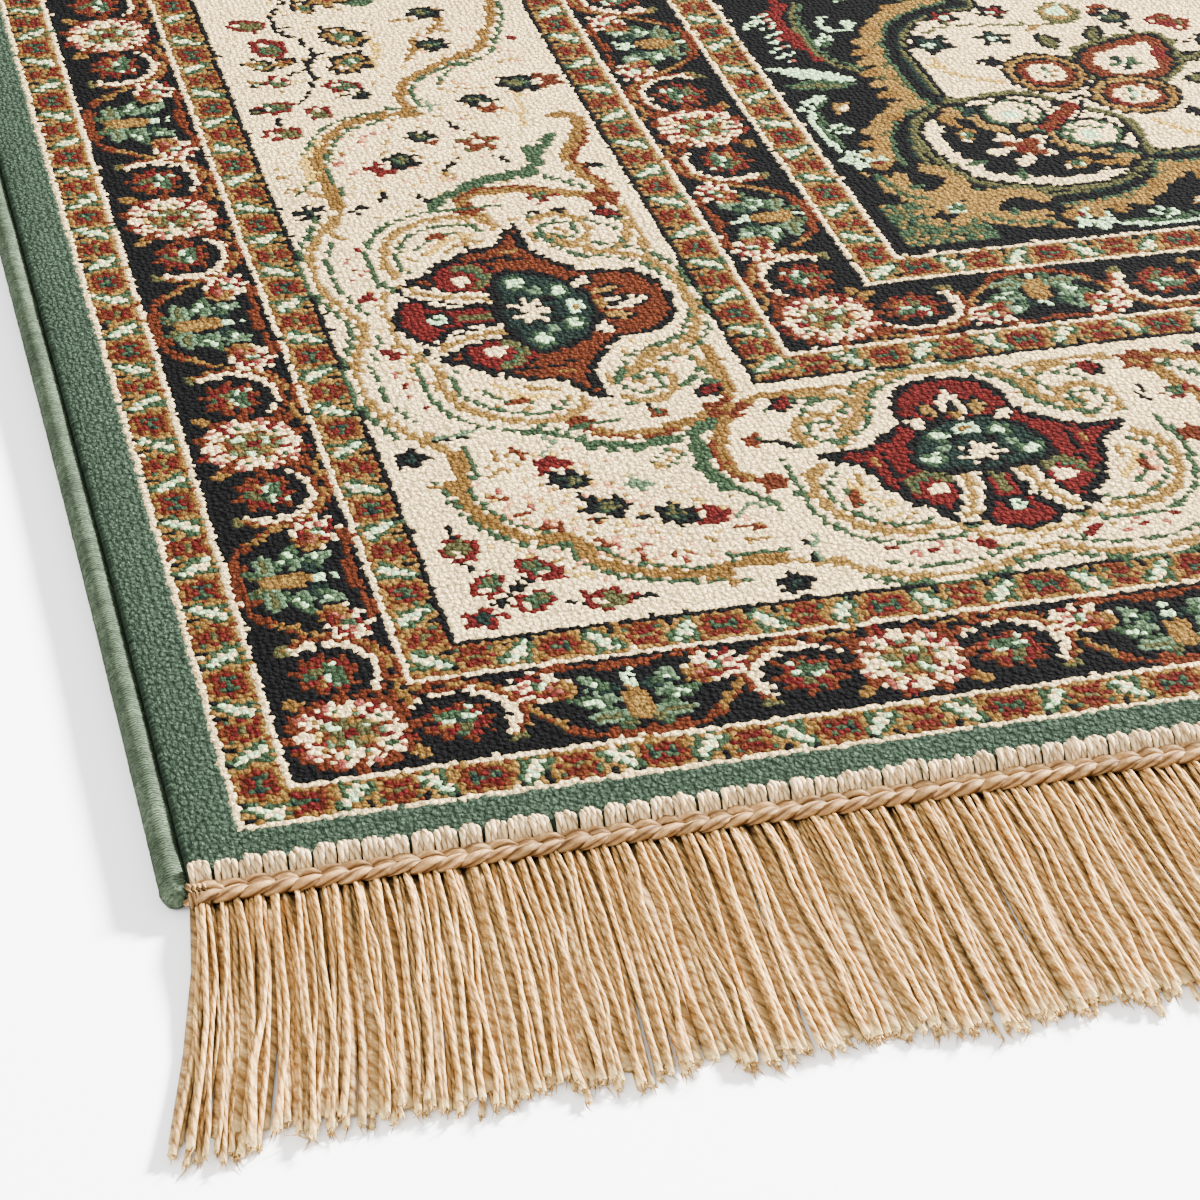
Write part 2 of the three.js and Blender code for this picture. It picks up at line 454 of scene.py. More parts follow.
def navyBorder(edge, out):
    centre = edge + navyMiddle
    for length, along, inward in ((cols, (1, 0), (0, 1)), (rows, (0, 1), (1, 0))):
        corner = placeAt(centre, centre, along, (out * inward[0], out * inward[1]))
        halves = max(1, round((length - centre) / navyHalfRepeat))
        half = (length - centre) / halves
        for n in range(0, halves + 2, 2):
            hub = moved(corner, n * half, 0)
            for side in ([hub, flipped(hub)] if n else [hub]):
                navyVine(side, half)
                crescentBud(moved(side, 15.2, -0.6))
                slantBud(moved(side, 28.2, 4.6))
            rosette(hub)
        for n in range(1, halves + 2, 2):
            sidePalmette(moved(corner, n * half, -0.6))


# Several lines from one table of yarn, width and points
def drawLines(place, table):
    for ink, width, points in table:
        stroke(place, points, ink, width)


# Small flowers of the cream border
def redFlower(place, size, turn=0, heart="g"):
    spot = turned(place, turn)
    lobed(spot, size * 0.98, size * 0.10, 7, "b", squash=0.74)
    lobed(moved(spot, size * 0.14, 0), size * 0.66, size * 0.08, 5, heart, turn=0.8, squash=0.68)
    oval(moved(spot, size * 0.30, size * 0.1), size * 0.26, size * 0.2, "l")
    oval(moved(spot, -size * 0.42, 0), size * 0.24, size * 0.2, "i")


def goldFlower(place, size, turn=0, heart="g"):
    spot = turned(place, turn)
    lobed(spot, size * 1.12, size * 0.10, 8, "n", squash=0.68)
    lobed(spot, size * 0.86, size * 0.10, 8, "o", squash=0.62)
    oval(moved(spot, size * 0.1, 0), size * 0.50, size * 0.30, heart)
    oval(moved(spot, size * 0.24, 0), size * 0.16, size * 0.16, "w")
    oval(moved(spot, -size * 0.62, size * 0.1), size * 0.18, size * 0.22, "i")


def darkBud(place, size, turn=0, red="r", redAt=(1, 0.2), redSize=0.7):
    spot = turned(place, turn)
    if redSize:
        mate = moved(spot, redAt[0] * size, redAt[1] * size)
        lobed(mate, size * redSize, size * 0.12, 5, red)
        between = moved(spot, redAt[0] * size * 0.62, redAt[1] * size * 0.62)
        oval(between, size * 0.34, size * 0.34, "i")
    lobed(spot, size * 0.94, size * 0.12, 6, "n", turn=2.6, squash=0.84)
    lobed(moved(spot, -size * 0.1, 0), size * 0.56, size * 0.08, 4, "d", squash=0.8)
    oval(moved(spot, -size * 0.16, 0), size * 0.36, size * 0.28, "l")
    oval(moved(spot, size * 0.1, size * 0.2), size * 0.22, size * 0.2, "g")
    if redSize:
        oval(moved(spot, redAt[0] * size * 0.66, redAt[1] * size * 0.66), size * 0.24, size * 0.24, "i")


def navyFlower(place, turn=0):
    spot = turned(place, turn)
    lobed(spot, 2.5, 0.9, 5, "k")
    oval(spot, 1.3, 0.8, "d")
    stroke(spot, [(-3.4, 0.6), (-1.2, 0.2)], "k", 1)


# Palmette of the main border, drawn for one side of its axis and then for the other
def palmette(place, arch):
    fleck(place, 30, 27, "ftm", 0.10)
    for side in (place, flipped(place)):
        drawLines(side, (
            ("g", 1.2, [(0, 28.9), (5.5, 28.2), (10.8, 25), (13.2, 20), (14.6, 15.6), (19, 12),
                        (22.4, 9.8)]),
            ("t", 1.9, [(0, 30.4), (6.4, 29.6), (12, 26.2), (14.6, 21), (16, 17.2), (20.5, 13.2)]),
            ("g", 1, [(0, 32.2), (7.4, 31.2), (13.4, 27.8), (16.4, 22.4), (17.6, 19.4)]),
            ("t", 1.9, [(14.5, 18.8), (15.2, 22.8), (19.4, 26.2), (23, 26.6), (26.6, 24)]),
            ("g", 1, [(17, 24.9), (21, 24.6), (24.6, 20.6), (26.8, 15.6), (27.6, 10)]),
            ("t", 1.7, [(20, 8.8), (24.4, 9.2), (27.2, 13), (26.2, 18), (21.8, 19.8), (18.2, 17),
                        (18.6, 13.2)]),
            ("g", 1.1, [(19.2, 12.8), (22, 10.9), (25, 13.4), (24.4, 17), (21.4, 17.8), (19.9, 15.4),
                        (21.6, 13.8)]),
            ("o", 1, [(21.2, 15.4), (22.6, 14.6)]),
            ("t", 2, [(22.6, 3.4), (26, 3.8), (28.8, 1), (29.6, -4.8), (27.6, -11.6), (23.6, -16),
                      (18.4, -17.6), (13, -16.9), (10.4, -15.2)]),
            ("g", 1.1, [(24.6, 1.2), (26.8, -0.6), (27.4, -5.4), (25.6, -10.8), (21.8, -14.4),
                        (17.4, -15.6), (14, -14.6)]),
            ("g", 1.1, [(31.6, 7), (32, 0.4), (31.8, -6.6), (29.6, -13.8), (24.6, -19), (18.4, -20.6),
                        (12, -20.2), (8.6, -18.4)]),
            ("t", 1.3, [(17.6, -7.4), (20.6, -4), (21.8, 0)]),
            ("f", 1.6, [(19.2, -9.6), (22.6, -5.6), (23.6, -1)]),
            ("g", 0.9, [(20.8, -11.6), (24.2, -7.2), (24.8, -3.4)]),
            ("g", 1.2, [(0, -28), (4, -29.4), (10, -31.8), (16.6, -32.4), (23.4, -31.4), (30, -28.2)]),
            ("t", 1.7, [(0, -25.8), (4, -27.4), (9.6, -29.8), (16.4, -30.5), (23, -29.5), (29.4, -26),
                        (33.4, -22.8)]),
            ("g", 0.9, [(3, -24.2), (8, -26.4), (14, -27.8), (20, -27.4), (26, -24.8)]),
            ("t", 1.3, [(0, -21.6), (4.6, -21.4), (9.4, -19.6), (11.6, -16.4)]),
        ))
        leaf(turned(moved(side, 6.4, -24.4), 28), 5.4, 2.6, "b")
        leaf(turned(moved(side, 24.4, -9), 100), 4.6, 2.6, "r")
        leaf(turned(moved(side, 25, 27.4), -60), 6.4, 4.2, "n")
        leaf(turned(moved(side, 25.2, 27), -60), 4.8, 2.4, "b")
        oval(moved(side, 24.2, 25.8), 1, 0.8, "g")
        for a, b in ((13, -25.2), (16, -24.4), (19, -24.6), (22, -22.4), (15, -22.6)):
            leaf(turned(moved(side, a, b), 40), 2.6, 1, "p" if a % 2 else "b")
    half = [(0, 26.8), (4.6, 26), (8, 22.8), (9.3, 18), (9.8, 14.4), (12.6, 11.4), (16.6, 8.2), (20, 6.8),
            (25.2, 7.6), (22.6, 4.6), (20, 3), (18.9, -0.2), (18.4, -3.6), (16.8, -6.2), (15.4, -9.8),
            (12.4, -12.2), (11.6, -15.4), (8, -11), (4, -4)]
    body = half + [(-a, b) for a, b in half[::-1][:-1]]
    stroke(place, body, "i", 4.6, closed=True)
    patch(place, body, arch, "n", 1.5)
    for side in (place, flipped(place)):
        # Lobe with its eye
        oval(moved(side, 10.6, -5.6), 5.6, 6.2, "n")
        oval(moved(side, 10.6, -5.6), 4.9, 5.5, "b")
        stroke(side, [(14.4, -6.4), (13.6, -3.4), (10.4, -2.2), (8.2, -3.8)], "l", 2)
        stroke(side, [(13.6, -5.6), (12.6, -3.6), (10.2, -2.8)], "g", 1.1)
        oval(moved(side, 10.4, -6.6), 1.6, 1.6, "i")
        stroke(side, [(15.2, 5.2), (15.8, 2.6), (15.4, -1.2)], "n", 1.2)
        stroke(side, [(17.6, 4.4), (17.4, 2.2)], "o", 1.2)
        # Leaf band between the lobes
        band = [(3.2, -1.6), (4.8, -3.4), (5.3, -7), (6.6, -11.6), (8.8, -15.6)]
        stroke(side, band, "n", 5.4, 5)
        stroke(side, band, "i", 3.9, 3.4)
        stroke(side, band, "t", 1.7, 1.4)
    lobeHalf = [(0, -3), (2, -3.8), (2.4, -8), (3.2, -12.2), (6, -16.4), (4.4, -18.8), (0, -20.2)]
    lobe = lobeHalf + [(-a, b) for a, b in lobeHalf[::-1][1:-1]]
    patch(place, lobe, "b", "n", 1.3)
    stroke(place, [(0, -4.8), (0, -9.4)], "l", 1.8)
    oval(moved(place, 0, -13.2), 2.3, 2.2, "n")
    oval(moved(place, 0, -13.2), 1.5, 1.5, "w")
    oval(moved(place, 0, -13.2), 0.6, 0.6, "g")
    # Heart
    heart = [(0, 13.6), (5.6, 12.4), (9.6, 8), (11.6, 1.6), (8.6, -1.6), (3.6, -2.2), (0, -2.6)]
    heart = heart + [(-a, b) for a, b in heart[::-1][1:-1]]
    patch(place, heart, "d", "n", 1.4)
    for side in (place, flipped(place)):
        for a, b, size in ((4.8, 8.8, 1.9), (8.2, 2.4, 2)):
            oval(moved(side, a, b), size * 1.15, size, "g")
            oval(moved(side, a, b), size * 0.72, size * 0.66, "w")
        oval(moved(side, 5.6, 5.2), 1.2, 1, "s")
        oval(moved(side, 3, 6.6), 1, 1.2, "n")
    oval(moved(place, 0, 10.4), 2.2, 1.6, "w")
    oval(moved(place, 0, 10.6), 0.9, 0.8, "o")
    lobed(moved(place, 0, 2.4), 3.6, 1.2, 7, "n", turn=1)
    lobed(moved(place, 0, 2.6), 2.7, 1.1, 7, "i", turn=1)
    oval(moved(place, 0, 0.4), 1.1, 0.9, "n")
    # Flames
    up = turned(place, 90)
    leaf(moved(up, 12.6, 0), 11.4, 5.4, "n")
    leaf(moved(up, 13, 0), 10.2, 4, "i")
    leaf(moved(up, 13, 0), 7.6, 1.7, "n")
    oval(moved(place, 0, 15), 1.1, 1.2, "o")
    for side in (place, flipped(place)):
        spot = turned(moved(side, 3, 13.8), 74)
        leaf(spot, 6.6, 3.6, "n")
        leaf(moved(spot, 0.5, 0), 5.4, 2.2, "t")
        spot = turned(moved(side, 5.4, 11.4), 50)
        leaf(spot, 5.8, 3.8, "n")
        leaf(moved(spot, 0.5, 0), 4.8, 2.3, "i")


# Scrolls beyond the palmette, as far as the dark buds
def palmetteScrolls(side):
    fleck(moved(side, 60, -6), 22, 24, "ftmi", 0.14)
    drawLines(side, (
        ("t", 1.6, [(33, -23), (36.5, -24.8), (41, -22.4), (46, -21.2), (50, -23), (53.2, -26.4),
                    (53.4, -29.4)]),
        ("g", 1, [(34, -28.6), (38.4, -27.6), (43, -25.6)]),
        ("k", 1, [(41.5, -17.4), (43.2, -19.2), (44.6, -16.6)]),
        ("g", 1.1, [(52, -27.6), (56, -24.8), (64, -24), (74.4, -20.6), (81, -14.4), (83.4, -6.6),
                    (84, -1)]),
        ("o", 2.5, [(45.4, -21.3), (52.6, -21.4), (60.4, -22.2), (66.8, -21.2), (73.8, -18), (78.8, -13.4),
                    (81.2, -7.2), (81.4, 0.4)]),
        ("g", 1, [(50.2, -19.6), (60, -20.4), (66.4, -19.4), (72.8, -16.4), (77.2, -12.2), (79.2, -6.6)]),
        ("g", 2, [(82.6, -0.4), (88.6, -0.8), (95, 1), (98.6, 4)]),
        ("g", 2.4, [(42, -5.2), (45.8, -1.6), (49, 2.6)]),
        ("g", 3.6, [(48.6, 2.4), (50.8, 7), (51.6, 12), (53, 15.6)]),
        ("g", 3, [(51.4, 14.6), (57, 17.6), (61.8, 17.2)]),
        ("g", 2.6, [(58, 17), (62, 20), (66.6, 22.8)]),
        ("g", 1.8, [(50, 17.4), (45.4, 21.6), (43.6, 23.6)]),
        ("o", 2.7, [(38.8, 1.2), (43.6, 0.6), (46.2, 4.8), (45.8, 11), (43.8, 16.6), (41.6, 21.6),
                    (38.8, 25)]),
        ("r", 1.1, [(43.6, -0.4), (47.4, 4.8), (47, 11), (45, 16.8)]),
        ("o", 2.8, [(38.8, 25), (44, 26.8), (50, 24), (57, 23.4), (62.8, 26.4), (69, 29), (74, 29),
                    (75.2, 25.6)]),
        ("r", 1.1, [(44, 28), (50, 25.6), (57, 25), (62.4, 28), (68.6, 30.4)]),
        ("t", 1.6, [(36.6, 27.2), (30, 28.4), (22, 28.2), (15.6, 27.4)]),
        ("n", 1.1, [(36.4, 17.4), (35.2, 13.6), (36.4, 12)]),
        ("n", 1.1, [(60.2, 3.8), (57.8, 1.4), (56.4, 0.8)]),
        ("n", 1.1, [(60, 10.6), (57.4, 12.8)]),
        ("n", 1.2, [(76, 5.2), (71.8, 7.4)]),
        ("n", 1, [(46, -13.6), (49.4, -12)]),
        ("n", 1, [(48, -7), (44.6, -5.4)]),
        ("f", 1.2, [(57, -24), (66, -23.6), (73, -19.6)]),
        ("f", 1.2, [(72, 19), (80, 20.6), (86, 21)]),
    ))
    lobed(moved(side, 38.8, 1.2), 2.7, 0.5, 5, "r")
    lobed(moved(side, 39.2, 25.6), 3.3, 0.7, 5, "r")
    oval(moved(side, 38.4, 25), 1.3, 1.1, "o")
    redFlower(moved(side, 41.6, 14.2), 2.6, 40)
    navyFlower(moved(side, 44.4, -27.2), 60)
    oval(moved(side, 52.6, 27.4), 1.3, 2, "n")
    oval(moved(side, 51, 28.8), 0.8, 1.1, "s")
    lobed(moved(side, 66.4, 9), 3.6, 1.1, 5, "l")
    lobed(moved(side, 66.4, 9), 3, 1.2, 5, "r", turn=0.4)
    oval(moved(side, 66.4, 9), 1.3, 1.3, "i")
    darkBud(moved(side, 61.4, -6.6), 3.9, 205, "b", (1, 0.75), 0.72)
    darkBud(moved(side, 71, -0.8), 3, 120, "r", (0.85, 0.4), 0.5)
    darkBud(moved(side, 84.8, 13), 3.6, 120, "r", (0.8, 0.6), 0.62)
    lobed(moved(side, 84.2, 3.4), 1.8, 0.5, 4, "s")
    for a, b in ((70, -14), (73, -11), (66, -17), (58, -17), (62, -19)):
        leaf(turned(moved(side, a, b), 60), 2.4, 1, "p")


# Flowers about the middle between two palmettes, drawn from that middle outwards
def spray(side):
    fleck(moved(side, 24, -14), 26, 16, "fti", 0.06)
    fleck(moved(side, 40, 14), 24, 12, "ftmi", 0.16)
    drawLines(side, (
        ("o", 2.4, [(56, -0.6), (49.6, -0.8), (43.4, 1.2), (39.8, 4.8), (35.6, 10.4), (32, 16),
                    (29.4, 19.4), (23, 21.6), (16, 24.4), (9, 25.8), (0, 26.4)]),
        ("g", 1, [(54, 1.4), (49.4, 1.2), (44, 3), (40.6, 6.2), (37.4, 11), (33.8, 16.6)]),
        ("g", 1.1, [(46, 7), (39.8, 10.4), (36.4, 16), (32.8, 20.2), (28.6, 22.2), (18.8, 25.8),
                    (10.4, 27.8), (0, 28.4)]),
        ("n", 1.1, [(0.6, -14.8), (4.8, -17.6), (11.2, -18.8), (16.8, -17), (18.2, -15.2), (22.4, -14.5),
                    (26.6, -13.4), (31.4, -15.2), (35.6, -15.6), (42, -16.6), (47.6, -19.4), (49, -21.6)]),
        ("n", 1, [(26.6, -13.4), (27.2, -10.4)]),
        ("n", 1, [(33.6, -15.9), (35.6, -19.8)]),
        ("n", 1, [(54.4, -25.6), (58.4, -25.4)]),
        ("n", 1, [(11.8, -18.8), (13.4, -14.4)]),
        ("o", 1.6, [(10.4, 14.2), (16.4, 13.6), (20.4, 11)]),
        ("t", 1.6, [(13.6, 4.4), (14, 8.4)]),
        ("o", 1.4, [(24, 7), (30, 5.4), (33.6, 3.4)]),
        ("f", 1.4, [(20, -2), (27, -1), (36, -3.6)]),
    ))
    redFlower(moved(side, 22.2, -21.6), 4.8, 20)
    goldFlower(moved(side, 29.8, -24.6), 3.2, 40, "l")
    goldFlower(moved(side, 29.4, -19.6), 2.6, 130, "r")
    redFlower(moved(side, 10.4, -24), 4.2, 70, "l")
    goldFlower(moved(side, 19.4, -6.4), 5.4, 30)
    goldFlower(moved(side, 32, -7.2), 5, 150)
    redFlower(moved(side, 38.4, -22.6), 3, 10)
    goldFlower(moved(side, 38, -26.6), 2, 10, "l")
    redFlower(moved(side, 42.6, -10.8), 3.8, 60)
    darkBud(moved(side, 46.6, -8.6), 2.9, 60, "b", (0.9, 0.2), 0)
    oval(moved(side, 45.8, -9.6), 1.2, 1.2, "i")
    redFlower(moved(side, 49.8, -25.2), 4, 100)
    darkBud(moved(side, 50.6, -28.6), 1.9, 90, "b", (0.9, 0.2), 0)
    redFlower(moved(side, 53.6, -17.4), 3.4, 20, "l")
    redFlower(moved(side, 61.6, -25.6), 4, 80, "l")
    darkBud(moved(side, 11, 11.8), 3.8, 60, "r", (0.9, 0.2), 0)
    darkBud(moved(side, 27, 10.2), 3.6, 70, "o", (0.9, 0.2), 0)
    darkBud(moved(side, 48, 22.6), 4.8, 60, "r", (0.95, 0.55), 0.62)
    leaf(turned(moved(side, 25.6, 25), 40), 3.4, 1.5, "b")
    oval(moved(side, 0, 0), 5.5, 4, "g")
    lobed(moved(side, 0, -6), 4.6, 1, 6, "n")
    lobed(moved(side, 0, -6), 3.4, 0.9, 6, "o")
    oval(moved(side, 0, -6), 1.5, 1.5, "b")
    goldFlower(moved(side, 3.6, -11.4), 3, 20)
    lobed(moved(side, 0, 14), 3.4, 0.8, 5, "n")
    oval(moved(side, 0, 14), 1.6, 1.8, "r")


# The corner's points are counted from a line that lies a few knots outside the rug's edge
cornerOutset = 6.8
middleOutset = 6.2


# Corner of the main border, drawn on both sides of the diagonal
def creamCorner(home):
    home = moved(home, 0, -cornerOutset)
    fleck(moved(home, 70, 86), 15, 20, "ftmi", 0.16)
    drawLines(home, (
        ("t", 1.6, [(54.6, 113.5), (55.2, 110), (57.2, 106)]),
        ("k", 1, [(55.2, 110.2), (58.6, 109.8), (62.4, 110.8)]),
        ("s", 1.2, [(56, 111.6), (59, 111.4), (62, 112.4)]),
        ("o", 2.4, [(57.4, 106), (57.4, 99.8), (55.6, 95), (56.2, 90.2), (57.6, 85.6), (61, 80.3),
                    (64, 77.4), (68.6, 76.8), (70.6, 73)]),
        ("g", 1.1, [(59.2, 107.6), (59.5, 99.8), (57.6, 96), (58, 90.6), (59.6, 86.4), (62.8, 81.8),
                    (66, 79.4)]),
        ("g", 1.1, [(52.6, 99), (53.6, 94), (54.8, 87.4), (58, 80.4), (62.6, 75.9), (66.8, 75.2),
                    (68.6, 72.2)]),
        ("n", 1.1, [(59.4, 67.6), (57.5, 64.6), (54.3, 60.5)]),
        ("n", 1, [(51.4, 84.4), (51.8, 81.6)]),
        ("n", 1, [(66.9, 57.9), (64.2, 57.8)]),
        ("n", 1, [(51.8, 73.4), (52.6, 71.2)]),
        ("r", 1.1, [(66.9, 105.2), (67.2, 101.6)]),
        ("o", 1, [(63.2, 105.4), (63.4, 102.4)]),
        ("r", 1.2, [(73, 75), (73.6, 72.2)]),
        ("r", 1.1, [(78.2, 71.4), (78.8, 68.6)]),
        ("r", 1.1, [(83.4, 69.4), (84.4, 66.8)]),
        ("g", 1.4, [(69.6, 109.5), (72.9, 108.9), (76.8, 106.2), (79.8, 103)]),
        ("g", 3, [(79, 103.6), (84.4, 101.9), (89.2, 101.9), (93.4, 102.4)]),
        ("g", 2.4, [(93, 102.2), (96.6, 103.8), (99.6, 107.6), (102.2, 108.4)]),
        ("t", 1.2, [(92, 98.6), (87.8, 94.8)]),
        ("g", 1, [(92.6, 97.4), (88.8, 93.8)]),
        ("o", 2.6, [(79.2, 110.6), (82, 106.6), (87, 105.3), (93, 106.2), (98.6, 108.4), (103.2, 111.6)]),
        ("r", 1.1, [(80.6, 106.4), (87, 104), (93.2, 104.9)]),
        ("o", 2, [(103.6, 111.4), (105.6, 115.6), (106.2, 122), (106, 128.6), (104.6, 134)]),
        ("g", 1, [(101.8, 116), (103.2, 122), (103.4, 127)]),
        ("n", 1.2, [(92, 112.4), (90.8, 115.6), (88.8, 117.2)]),
        ("n", 0.9, [(73.3, 89.8), (73.4, 87.4)]),
        ("s", 1, [(95.6, 77.6), (98.6, 80.2), (101.6, 79)]),
    ))
    patch(home, [(57.4, 100.4), (56.4, 98), (50.4, 96), (55.6, 95.2), (57.6, 95.2), (58.2, 98)], "o")
    lobed(moved(home, 79.1, 110.6), 2.6, 0.5, 5, "r")
    oval(moved(home, 92.3, 111.6), 1.9, 1.7, "r")
    oval(moved(home, 92.5, 111.4), 1, 0.9, "g")
    navyFlower(moved(home, 50.3, 105.8), 70)
    redFlower(moved(home, 52, 77.2), 3.9, 85, "l")
    redFlower(moved(home, 54, 66.8), 3.7, 60)
    redFlower(moved(home, 62.6, 69), 4, -40)
    darkBud(moved(home, 73, 93.6), 3.7, 150, "b", (0.9, -1), 0.85)
    for x, y, turn in ((59.6, 90, 60), (60.4, 87, 30), (62.6, 84.6, 50), (64.8, 82, 10), (61.4, 92, 80),
                       (66.8, 81, 30), (65, 86, 60)):
        leaf(turned(moved(home, x, y), turn), 2.6, 1, "p" if y % 2 < 1 else "m")
    lobed(moved(home, 82.6, 90.5), 1.6, 0.4, 4, "s")


# What stands on the diagonal itself
def cornerMiddle(home):
    home = moved(home, 0, -middleOutset)
    lobed(moved(home, 51.2, 57.2), 2.9, 0.7, 5, "b")
    lobed(moved(home, 51.4, 57.4), 1.6, 0.4, 5, "d")
    darkBud(moved(home, 76.6, 83.6), 4, 200, "r", (0.7, 0.5), 0.3)
    lobed(moved(home, 103.4, 109.8), 3.4, 0.8, 5, "r")
    oval(moved(home, 103.6, 109.8), 1.4, 1.4, "o")


mainMiddle = 78.0          # knots from the rug's edge to the main border's middle line

# The main border along an end and along a side: the first palmette's place, the steps from there to the rug's
# middle, and the stretch of the palmettes, of the scrolls and of the sprays
mainRuns = (
    {"length": cols, "first": 139.1, "steps": 2, "along": (1, 0), "inward": (0, 1),
     "palmette": 1, "scrolls": 0.90, "spray": 0.95, "arch": "b"},
    {"length": rows, "first": 143.3, "steps": 3, "along": (0, 1), "inward": (1, 0),
     "palmette": 1.26, "scrolls": 1, "spray": 1, "arch": "r"},
)


# Palmettes and sprays stand by turns, the palmettes with scrolls on both sides
def mainBorder():
    home = placeAt(0, 0, (1, 0), (0, 1))
    creamCorner(home)
    creamCorner(placeAt(0, 0, (0, 1), (1, 0)))
    cornerMiddle(home)
    for run in mainRuns:
        step = (run["length"] - run["first"]) / run["steps"]
        hubs = []
        for n in range(run["steps"] + 1):
            at = run["first"] + n * step
            centre = (at, mainMiddle) if run["along"] == (1, 0) else (mainMiddle, at)
            hubs.append(placeAt(*centre, run["along"], run["inward"]))
        for n, hub in enumerate(hubs):
            for side in ([hub, flipped(hub)] if n else [hub]):
                if n % 2:
                    spray(dict(side, stretch=run["spray"]))
                else:
                    palmetteScrolls(dict(side, stretch=run["scrolls"]))
        for hub in hubs[::2]:
            palmette(dict(hub, stretch=run["palmette"]), run["arch"])


# Field: a scalloped ivory ground with a medallion, and dark foliage between it and the borders
fieldHome = placeAt(fieldEdge, fieldEdge, (1, 0), (0, 1))
fieldMirror = placeAt(fieldEdge, fieldEdge, (0, 1), (1, 0))
foliageLength = 111        # knots along the border that the foliage takes

# The tan band's outer side: distances from the field's corner, and how far in it lies there
bandRim = ((35, 44, 52, 56, 58, 62, 70, 80, 90, 98, 106),
           (11, 11, 14, 18, 22, 22.6, 22, 22.4, 24.4, 29, 36))


def pointedRose(place):
    spot = turned(place, 45)
    outline = [(-8.6, 0), (-6, 6.6), (0.6, 8.8), (7, 6.4), (14.6, 0.6), (7, -6.4), (0.6, -8.8), (-6, -6.6)]
    bands(spot, outline, ((-2.6, -1.2, "l"), (-1.2, 0, "n"), (0, 2.9, "r"), (2.9, inside, "i")))
    leaf(turned(moved(spot, 5, -6), 40), 7, 2.4, "b")
    for n in range(5):
        petal = turned(spot, 72 * n)
        oval(moved(petal, 2.2, 0), 1.5, 0.9, "d" if n % 2 else "g")
    oval(spot, 0.9, 0.9, "w")


def ringRose(place, rx, ry):
    oval(place, rx, ry, "n")
    oval(place, rx * 0.89, ry * 0.9, "o")
    oval(moved(place, -0.5, 0.4), rx * 0.80, ry * 0.82, "t")
    oval(place, rx * 0.72, ry * 0.74, "n")
    oval(place, rx * 0.64, ry * 0.67, "r")
    oval(moved(place, -rx * 0.34, -ry * 0.2), rx * 0.22, ry * 0.3, "b")
    oval(place, rx * 0.45, ry * 0.46, "i")
    for n in range(5):
        spot = turned(place, 72 * n + 20)
        oval(moved(spot, rx * 0.24, 0), 0.9, 0.6, "g" if n % 2 else "o")
    oval(place, 0.8, 0.8, "w")


def whiteFlower(place, size):
    lobed(place, size, size * 0.22, 6, "w", turn=0.4)
    for n in range(4):
        oval(moved(turned(place, 90 * n + 30), size * 0.5, 0), 0.6, 0.5, "g")
    oval(place, size * 0.25, size * 0.25, "n")


# Dark foliage beside the border, for the first knots after the corner
def foliage(side):
    drawLines(side, (
        ("w", 1.2, [(7, 67.4), (3.6, 61), (2.4, 53), (3.4, 44)]),
        ("g", 1.2, [(8, 66.6), (5, 61), (3.8, 53), (4.8, 45)]),
        ("w", 1.2, [(2, 62.6), (4.4, 66), (7.4, 66.6)]),
        ("l", 1.4, [(15.4, 111), (12.8, 104), (12, 96), (12.4, 88), (13.6, 83), (18, 77), (23.6, 71.4)]),
        ("g", 1, [(16.8, 111), (14.2, 104), (13.4, 96), (13.8, 88.6), (15.2, 83.4), (19.4, 77.8)]),
        ("b", 3.4, [(12.2, 111), (9.4, 104.6), (9.8, 97.6), (10.6, 91)]),
        ("b", 1.6, [(10.6, 91), (11.4, 86.8), (12, 83.4)]),
        ("w", 1.1, [(2, 101), (4.6, 104.4), (6.4, 104)]),
        ("w", 1.4, [(19, 104), (17.6, 100), (19.4, 96.4), (22.6, 97.2), (23, 100.6)]),
    ))
    for b, length in ((108, 5), (105, 5.6), (102, 4.8), (98.6, 5.4), (95.4, 5), (92, 5.6), (88.6, 5.8),
                      (85.4, 4)):
        leaf(turned(moved(side, 9, b), 208), length, 1.3, "w")
        oval(moved(side, 7.4, b - 0.6), 0.7, 0.5, "p")
    leaf(turned(moved(side, 1.2, 81.8), -30), 18, 4.4, "w")
    leaf(turned(moved(side, 1.6, 73.4), -8), 14.6, 4.6, "g")
    leaf(turned(moved(side, 3.2, 72.8), -8), 9.6, 1.6, "l")
    leaf(turned(moved(side, 8.4, 59.4), 60), 5.4, 3, "t")
    leaf(turned(moved(side, 9, 60), 60), 3.6, 1.4, "i")
    whiteFlower(moved(side, 6.4, 39.2), 3.6)
    oval(moved(side, 8.8, 37.4), 1.1, 1.1, "b")
    whiteFlower(moved(side, 6.8, 52.8), 2.2)
    leaf(turned(moved(side, 15.2, 88.6), 78), 7.2, 3.4, "w")
    leaf(turned(moved(side, 15.6, 89.2), 78), 5, 1.6, "g")


